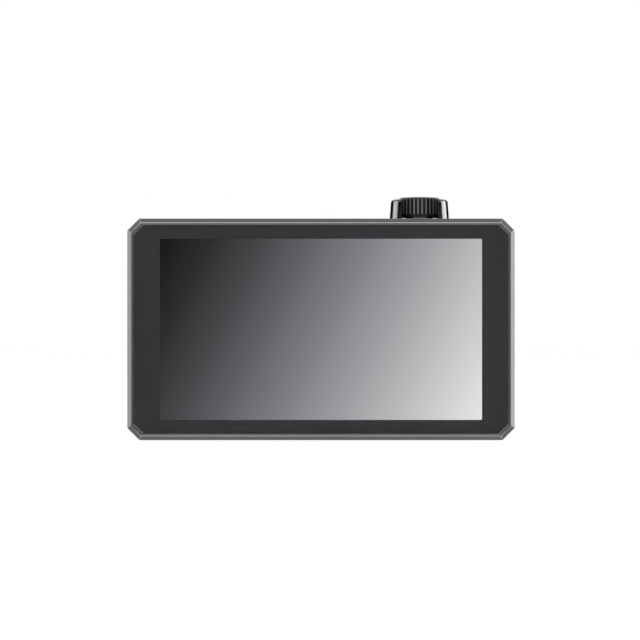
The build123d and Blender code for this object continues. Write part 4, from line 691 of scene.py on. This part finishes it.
def printed_bands(bands, name, centre, across, up, body):
    """Printed strips, each a closed thin mesh, with the print's two directions."""
    x_axis, y_axis = Vector(across), Vector(up)
    z_axis = x_axis.cross(y_axis)
    work = bmesh.new()
    for band in bands:
        rows = [[work.verts.new(centre + x_axis * spot.x + y_axis * spot.y + z_axis * rise)
                 for spot, rise in ((one, ink_lift), (two, ink_lift), (two, -ink_lift),
                                    (one, -ink_lift))]
                for one, two in band]
        for a, b in zip(rows, rows[1:]):
            for i in range(4):
                j = (i + 1) % 4
                work.faces.new((a[i], a[j], b[j], b[i]))
        work.faces.new(rows[0])
        work.faces.new(rows[-1])
    bmesh.ops.recalc_face_normals(work, faces=work.faces)
    return as_piece(work, name, body, [label_ink])


printed_bands([arc_band(radius=0.0059, start=74, end=-168, width_start=0.00125,
                        width_end=0.0003)],
              "dial_arc", Vector((dial_centre.x, dial_centre.y, dial_top)), (1, 0, 0),
              (0, 1, 0), "dial")

encoder_zinc = grained("encoder_zinc", (0.40, 0.40, 0.39), 1.0, 0.38, grains=2000.0)
finish(["encoder_body", "encoder_shaft"], encoder_zinc)
finish(["encoder_slider"], switch_plastic)
nut_nickel = grained("nut_nickel", (0.62, 0.62, 0.60), 1.0, 0.22, grains=1500.0)
finish(["encoder_nut", "bnc_nuts", "dc_nuts", "latch_spring"], nut_nickel)


# ------------------------------------------------------------------ dial guard
# Two upright arcs on one plate, turned in one piece, polished and plated in dark chrome.
# The encoder's nut clamps the plate in its seat on the housing's top.

guard_chrome = turned("guard_chrome", (0.075, 0.075, 0.078), 1.0, 0.16, dial_centre, "Z",
                      rings=3000.0, depth=0.0000001, drift=0.05)
# The chamfer faces' lighter chrome is a painted highlight.
guard_edge_painted_highlight = turned("guard_edge_painted_highlight", (0.24, 0.24, 0.247), 1.0, 0.18, dial_centre, "Z",
                    rings=3000.0, depth=0.0000001)


def beside_the_flats(point):
    """False where the guard's flat front and back narrow to a point beside its opening."""
    opening_half, flat_half, near = 0.0076, 0.0088, 0.0001
    round_z, opening_round_z = 0.0984, 0.0990
    along, across = abs(point.x - dial_centre.x), abs(point.y - dial_centre.y)
    at_the_opening = (abs(along - opening_half) < near
                      and (across > flat_half - 0.0002 or point.z > opening_round_z))
    on_the_round = abs(across - flat_half) < near and point.z > round_z
    return not (at_the_opening or on_the_round)


machined("dial_guard", "guard_arcs", [guard_chrome, guard_edge_painted_highlight], 0.00012,
         beside_the_flats)


# ------------------------------------------------------------------ power key and lamp
# A bright red moulded key in the right side's shallow tray, with the power mark printed
# on it, and a clear pin that carries the green lamp's light.

power_red = grained("power_red", (0.440, 0.001, 0.001), 0.0, 0.34, grains=4000.0,
                    depth=0.000004, drift=0.05, specular=0.07)
# The chamfer faces' lighter red is a painted highlight.
power_red_edge_painted_highlight = grained("power_red_edge_painted_highlight", (0.62, 0.02, 0.02), 0.0, 0.28, grains=4000.0)
machined("power_button", "power_key_cap", [power_red, power_red_edge_painted_highlight], 0.00008)
power_low, power_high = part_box("power_button")
power_centre = Vector((power_high.x, (power_low.y + power_high.y) / 2,
                       (power_low.z + power_high.z) / 2))
mark_width = 0.00052
printed_bands([arc_band(radius=0.0020, start=124, end=416, width_start=mark_width,
                        width_end=mark_width),
               block_band((-mark_width / 2, 0.0002), (mark_width / 2, 0.0031))],
              "power_mark", power_centre, (0, 1, 0), (0, 0, 1), "power_key")

lamp_green, lamp_tree, lamp_shader = principled("lamp_green", {
    "Base Color": (0.02, 0.35, 0.03, 1.0), "Emission Strength": 1.0})
lamp_place = lamp_tree.nodes.new("ShaderNodeTexCoord").outputs["Object"]
lamp_low, lamp_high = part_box("status_light_pipe")
lamp_middle = (lamp_low + lamp_high) / 2
lamp_radius = 0.0005
lamp_shift = added(lamp_tree, "ShaderNodeMapping",
                   {"Location": (0, -lamp_middle.y, -lamp_middle.z), "Scale": (0, 1, 1),
                    "Vector": lamp_place})
lamp_reach = added(lamp_tree, "ShaderNodeVectorMath", {0: lamp_shift.outputs[0]},
                   operation="LENGTH")
lamp_ramp = added(lamp_tree, "ShaderNodeMapRange",
                  {"From Max": lamp_radius, "To Min": 1.0, "To Max": 0.2,
                   "Value": lamp_reach.outputs["Value"]})
lamp_glow = added(lamp_tree, "ShaderNodeVectorMath",
                  {0: (0.05, 0.9, 0.08), "Scale": lamp_ramp.outputs["Result"]},
                  operation="SCALE")
fed(lamp_tree, lamp_shader, {"Emission Color": lamp_glow.outputs[0]})
finish(["status_light_pipe"], lamp_green)


# ------------------------------------------------------------------ side ports
# Two video sockets, a headphone jack and a small reversible port in a tray down the left
# side. Pressed shells in bright nickel, and moulded tongues, dark at the tip and white
# behind it, with rows of sprung contacts.

shell_nickel = grained("shell_nickel", (0.88, 0.88, 0.87), 0.5, 0.38, grains=1800.0,
                       depth=0.000002, drift=0.05)
# The chamfer faces' lighter nickel is a painted highlight.
shell_rim_painted_highlight = grained("shell_rim_painted_highlight", (0.92, 0.92, 0.91), 0.5, 0.34, grains=1800.0,
                    depth=0.000001, drift=0.03)
for socket in ("video_in_shell", "video_out_shell", "type_c_shell"):
    machined(socket, socket.replace("_shell", "_metal_shell"), [shell_nickel, shell_rim_painted_highlight],
             0.00008)
tongue_black = grained("tongue_black", (0.012, 0.012, 0.012), 0.0, 0.45)
tongue_grey = grained("tongue_grey", (0.30, 0.30, 0.31), 0.0, 0.4)
floor_white = grained("floor_white", (0.90, 0.90, 0.89), 0.0, 0.4)
finish(["headphone_jack"], tongue_black)
tip_length = 0.0003
for port, plastic in (("video_in", tongue_black), ("video_out", tongue_black),
                      ("type_c", tongue_grey)):
    node = f"{port}_tongue"
    tongue = as_piece(merged(node), f"{port}_tongue_moulding", node_body(node),
                      [plastic, floor_white])
    tip_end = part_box(node)[0].x + tip_length
    for face in tongue.data.polygons:
        if face.center.x > tip_end:
            face.material_index = 1
    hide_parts(node)
contact_gold = grained("contact_gold", (0.92, 0.80, 0.50), 1.0, 0.25, grains=3000.0)


def copied(tree, points, shape, metal, turn=(0, 0, 0)):
    """Ends a geometry node tree with real copies of a shape on points, in one material."""
    copies = added(tree, "GeometryNodeInstanceOnPoints",
                   {"Points": points, "Instance": shape, "Rotation": turn})
    real = added(tree, "GeometryNodeRealizeInstances",
                 {"Geometry": copies.outputs["Instances"]})
    dressed = added(tree, "GeometryNodeSetMaterial",
                    {"Geometry": real.outputs["Geometry"], "Material": metal})
    added(tree, "NodeGroupOutput", {"Geometry": dressed.outputs["Geometry"]})
    return tree


def contact_tree():
    """Geometry nodes: a row of equal contact strips, set out along Z from its middle."""
    tree = bpy.data.node_groups.new("contact_row", "GeometryNodeTree")
    sockets(tree, "INPUT", (("Count", "NodeSocketInt", 10),
                            ("Pitch", "NodeSocketFloat", 0.001),
                            ("Strip Size", "NodeSocketVector", (0.006, 0.0002, 0.0004)),
                            ("Middle", "NodeSocketVector", (0, 0, 0)),
                            ("Metal", "NodeSocketMaterial", None)))
    sockets(tree, "OUTPUT", (("Geometry", "NodeSocketGeometry", None),))
    entry = tree.nodes.new("NodeGroupInput").outputs
    strip = added(tree, "GeometryNodeMeshCube", {"Size": entry["Strip Size"]})
    step = added(tree, "ShaderNodeCombineXYZ", {"Z": entry["Pitch"]}).outputs[0]
    gaps = added(tree, "ShaderNodeMath", {0: entry["Count"], 1: 1.0}, operation="SUBTRACT")
    half = added(tree, "ShaderNodeMath", {0: gaps.outputs[0], 1: -0.5}, operation="MULTIPLY")
    back = added(tree, "ShaderNodeVectorMath", {0: step, "Scale": half.outputs[0]},
                 operation="SCALE")
    start = added(tree, "ShaderNodeVectorMath", {0: back.outputs[0], 1: entry["Middle"]},
                  operation="ADD")
    line = added(tree, "GeometryNodeMeshLine",
                 {"Count": entry["Count"], "Offset": step, "Start Location": start.outputs[0]})
    return copied(tree, line.outputs["Mesh"], strip.outputs["Mesh"], entry["Metal"])


def grown(tree, values, points=()):
    """The mesh that a geometry node tree makes of points with the given inputs."""
    seed_mesh = bpy.data.meshes.new("seed")
    seed_mesh.from_pydata(points, [], [])
    seed = bpy.data.objects.new("seed", seed_mesh)
    scene.collection.objects.link(seed)
    modifier = seed.modifiers.new("grown", "NODES")
    modifier.node_group = tree
    for item in tree.interface.items_tree:
        if item.in_out == "INPUT" and item.name in values:
            modifier[item.identifier] = values[item.name]
    bpy.context.view_layer.update()
    mesh = bpy.data.meshes.new_from_object(
        seed.evaluated_get(bpy.context.evaluated_depsgraph_get()))
    bpy.data.objects.remove(seed)
    return mesh


def joined(meshes):
    """One bmesh from several meshes, which are removed."""
    work = bmesh.new()
    for mesh in meshes:
        work.from_mesh(mesh)
        bpy.data.meshes.remove(mesh)
    return work


contact_row = contact_tree()
video_row = {"Pitch": 0.001, "Strip Size": (0.0072, 0.00042, 0.00050)}
small_row = {"Pitch": 0.0005, "Strip Size": (0.0045, 0.00008, 0.00024)}
for port, row, counts, inset, tongue_y, half_gap in (
        ("video_in", video_row, (10, 9), 0.0038, 0.0032, 0.00076),
        ("video_out", video_row, (10, 9), 0.0038, 0.0032, 0.00076),
        ("type_c", small_row, (12, 12), 0.0025, 0.00185, 0.00036)):
    tongue_low, tongue_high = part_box(f"{port}_tongue")
    middle_z = (tongue_low.z + tongue_high.z) / 2
    rows = [grown(contact_row, {
        **row, "Count": count, "Metal": contact_gold,
        "Middle": (tongue_low.x + inset, tongue_y + across, middle_z)})
            for count, across in zip(counts, (-half_gap, half_gap))]
    as_piece(joined(rows), f"{port}_contacts", "root", [contact_gold])

side_label_y = -0.0077
side_label_height = 0.0022
for words, name, z in (("VIDEO IN", "label_video_in", 0.0690),
                       ("VIDEO OUT", "label_video_out", 0.0480),
                       ("DC 5V", "label_dc_5v", 0.0182)):
    lettering(words, name, side_label_height, (-half_width, side_label_y, z), (0, 0, -1),
              (0, -1, 0), "root")
headphones_z = 0.0318
printed_bands([arc_band(radius=0.00100, start=-5, end=185, width_start=0.00030,
                        width_end=0.00030),
               block_band((-0.00130, -0.00112), (-0.00056, -0.00006)),
               block_band((0.00056, -0.00112), (0.00130, -0.00006))],
              "label_headphones", Vector((-half_width, label_y, headphones_z)), (0, 0, -1),
              (0, -1, 0), "root")


# ------------------------------------------------------------------ mounting threads
# Three plain steel sleeves pressed into the top, the underside and the right side, each
# cut with a quarter inch camera thread that shows as turns inside the bore.

thread_steel = grained("thread_steel", (0.88, 0.88, 0.88), 0.5, 0.36, grains=2500.0,
                       depth=0.000002, drift=0.05)


def threaded_sleeve(mouth, inward, across, outer, bore, length, pitch=0.00127, turns=40,
                    per_pitch=8):
    """Sleeve with a helical groove cut outward from its bore, closed at both ends."""
    groove = 0.00042
    count = round(length / pitch * per_pitch)
    u, w = Vector(across), Vector(inward)
    v = w.cross(u)
    work = bmesh.new()
    rows = []
    for i in range(count + 1):
        depth = length * i / count
        row = []
        for k in range(turns):
            angle = 2 * math.pi * k / turns
            phase = (depth / pitch + k / turns) % 1.0
            ends = min(1.0, min(i, count - i) / 2)
            radius = bore + groove * (1 - abs(2 * phase - 1)) * ends
            ray = u * math.cos(angle) + v * math.sin(angle)
            row.append(work.verts.new(Vector(mouth) + w * depth + ray * radius))
        rows.append(row)
    for depth in (length, 0.0):
        rows.append([work.verts.new(
            Vector(mouth) + w * depth
            + (u * math.cos(2 * math.pi * k / turns) + v * math.sin(2 * math.pi * k / turns))
            * outer) for k in range(turns)])
    for a, b in zip(rows, rows[1:] + rows[:1]):
        for k in range(turns):
            j = (k + 1) % turns
            work.faces.new((a[k], a[j], b[j], b[k]))
    bmesh.ops.recalc_face_normals(work, faces=work.faces)
    return work


sleeve_r, bore_r, sleeve_length = 0.00355, 0.0026, 0.006
for node, mouth, inward, across in (
        ("top_thread", (0, 0, body_top), (0, 0, -1), (1, 0, 0)),
        ("bottom_thread", (0, 0, 0), (0, 0, 1), (1, 0, 0)),
        ("side_thread", (half_width, 0, body_middle_z), (-1, 0, 0), (0, 1, 0))):
    sleeve = as_piece(threaded_sleeve(mouth, inward, across, sleeve_r, bore_r, sleeve_length),
                      node.replace("_thread", "_thread_sleeve"), "root", [thread_steel],
                      smooth=40.0)
    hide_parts(node)


# ------------------------------------------------------------------ rear connectors
# Two bayonet video connectors and two locking power sockets in round pockets: turned,
# bright plated, with white insulators and gold contacts.

for node in ("bnc_in", "bnc_out", "dc_in", "dc_out"):
    low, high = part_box(node)
    centre = (low + high) / 2
    plated = turned(f"{node}_plated", (0.50, 0.50, 0.495), 1.0, 0.15, centre, "Y",
                    rings=4000.0, depth=0.0000005, drift=0.05)
    # The chamfer faces' lighter plating is a painted highlight.
    plated_edge_painted_highlight = turned(f"{node}_edge", (0.62, 0.62, 0.62), 1.0, 0.12, centre, "Y",
                         rings=4000.0, depth=0.0000005, drift=0.03)
    machined(node, f"{node}_connector", [plated, plated_edge_painted_highlight], 0.00012)
insulator_white = grained("insulator_white", (0.78, 0.78, 0.76), 0.0, 0.45)
finish(["bnc_insulators"], insulator_white)
finish(["bnc_contacts", "battery_contacts"], contact_gold)
pin_nickel = grained("pin_nickel", (0.7, 0.7, 0.69), 1.0, 0.2)
finish(["dc_pins"], pin_nickel)


# ------------------------------------------------------------------ battery bay
# A moulded plate with two lugged rails, a sprung catch in its window and two gold blades
# in the step below.

bay_plastic = grained("bay_plastic", (0.013, 0.013, 0.014), 0.0, 0.5, grains=2600.0,
                      depth=0.00001, specular=0.3)
# The chamfer faces' lighter plastic is a painted highlight.
bay_edge_painted_highlight = grained("bay_edge_painted_highlight", (0.035, 0.035, 0.037), 0.0, 0.42, grains=2600.0)
machined("battery_plate", "battery_rail_plate", [bay_plastic, bay_edge_painted_highlight], 0.0001)
machined("battery_latch", "battery_catch", [bay_plastic, bay_edge_painted_highlight], 0.00012)


# ------------------------------------------------------------------ fan
# A moulded 30 mm fan that draws air over the ribs. Its frame sits on four pegs of the
# slotted cover, which four screws hold to the housing.

machined("fan_cover", "fan_grille", [bay_plastic, bay_edge_painted_highlight], 0.00012)
fan_plastic = grained("fan_plastic", (0.018, 0.018, 0.018), 0.0, 0.42, grains=2600.0)
finish(["fan_frame", "fan_rotor"], fan_plastic)


# ------------------------------------------------------------------ dust screen
# Fine black cloth in a plain weave, cut to a strip and glued behind the side vents, where
# it keeps dust from the boards.

screen_cloth, cloth_tree, cloth_shader = principled("screen_cloth", {
    "Base Color": (0.005, 0.005, 0.005, 1.0), "Specular IOR Level": 0.1, "Roughness": 0.8})
cloth_place = cloth_tree.nodes.new("ShaderNodeTexCoord").outputs["Object"]
cloth_turn = added(cloth_tree, "ShaderNodeMapping",
                   {"Rotation": (0, math.radians(90), 0), "Vector": cloth_place})
cloth_weave = added(cloth_tree, "ShaderNodeTexBrick",
                    {"Scale": 900.0, "Mortar Size": 0.03, "Vector": cloth_turn.outputs[0]})
cloth_bump = added(cloth_tree, "ShaderNodeBump",
                   {"Distance": 0.00005, "Height": cloth_weave.outputs["Fac"]})
fed(cloth_tree, cloth_shader, {"Normal": cloth_bump.outputs["Normal"]})
finish(["vent_screen"], screen_cloth)


# ------------------------------------------------------------------ outer screws
# Black oxide machine screws with hexagon sockets: four at the housing's corners, four in
# the rail plate and four in the fan's cover.

screw_oxide = grained("screw_oxide", (0.045, 0.045, 0.047), 0.85, 0.36, grains=3000.0)


def screw_tree():
    """Geometry nodes: a socket screw on every point, its head's top face turned to +Y.

    The shank starts a little inside the head, so that no gap shows between them.
    """
    tree = bpy.data.node_groups.new("socket_screws", "GeometryNodeTree")
    sockets(tree, "INPUT", (("Geometry", "NodeSocketGeometry", None),
                            ("Head Radius", "NodeSocketFloat", 0.0018),
                            ("Head Height", "NodeSocketFloat", 0.0011),
                            ("Socket Radius", "NodeSocketFloat", 0.00085),
                            ("Socket Depth", "NodeSocketFloat", 0.0007),
                            ("Shank Radius", "NodeSocketFloat", 0.001),
                            ("Shank Length", "NodeSocketFloat", 0.004),
                            ("Metal", "NodeSocketMaterial", None)))
    sockets(tree, "OUTPUT", (("Geometry", "NodeSocketGeometry", None),))
    entry = tree.nodes.new("NodeGroupInput").outputs

    def bar(radius, height, sides, rise):
        """Upright bar whose top stands above zero by a share of its own height."""
        solid = added(tree, "GeometryNodeMeshCylinder",
                      {"Vertices": sides, "Radius": entry[radius], "Depth": entry[height]})
        shift = added(tree, "ShaderNodeMath", {0: entry[height], 1: -0.5 + rise},
                      operation="MULTIPLY")
        place = added(tree, "ShaderNodeCombineXYZ", {"Z": shift.outputs[0]})
        return added(tree, "GeometryNodeTransform",
                     {"Geometry": solid.outputs["Mesh"],
                      "Translation": place.outputs[0]}).outputs["Geometry"]

    cut = added(tree, "GeometryNodeMeshBoolean",
                {"Mesh 1": bar("Head Radius", "Head Height", 32, 0.0),
                 "Mesh 2": bar("Socket Radius", "Socket Depth", 6, 0.2)},
                operation="DIFFERENCE")
    drop = added(tree, "ShaderNodeMath", {0: entry["Head Height"], 1: -0.98},
                 operation="MULTIPLY")
    under = added(tree, "ShaderNodeCombineXYZ", {"Z": drop.outputs[0]})
    lower = added(tree, "GeometryNodeTransform",
                  {"Geometry": bar("Shank Radius", "Shank Length", 20, 0.0),
                   "Translation": under.outputs[0]})
    whole = added(tree, "GeometryNodeJoinGeometry", {"Geometry": cut.outputs["Mesh"]})
    fed(tree, whole, {"Geometry": lower.outputs["Geometry"]})
    return copied(tree, entry["Geometry"], whole.outputs["Geometry"], entry["Metal"],
                  (math.radians(-90), 0, 0))


def screw_heads(node):
    """Middle of each screw's top face, read from the CAD node's separate solids."""
    work = merged(node)
    left = set(work.verts)
    heads = []
    while left:
        island, edge = set(), [left.pop()]
        while edge:
            vert = edge.pop()
            island.add(vert)
            for link in vert.link_edges:
                other = link.other_vert(vert)
                if other in left:
                    left.remove(other)
                    edge.append(other)
        xs, ys, zs = zip(*(v.co for v in island))
        heads.append(((min(xs) + max(xs)) / 2, max(ys), (min(zs) + max(zs)) / 2))
    work.free()
    return sorted(heads)


socket_screws = screw_tree()
for node, head, shank in (("housing_screws", 0.0018, 0.0150),
                          ("plate_screws", 0.0018, 0.0029),
                          ("fan_screws", 0.0014, 0.0071)):
    made = grown(socket_screws, {"Head Radius": head, "Shank Length": shank,
                                 "Metal": screw_oxide}, screw_heads(node))
    piece = as_piece(joined([made]), node.replace("_screws", "_socket_screws"), "root",
                     [screw_oxide])
    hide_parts(node)
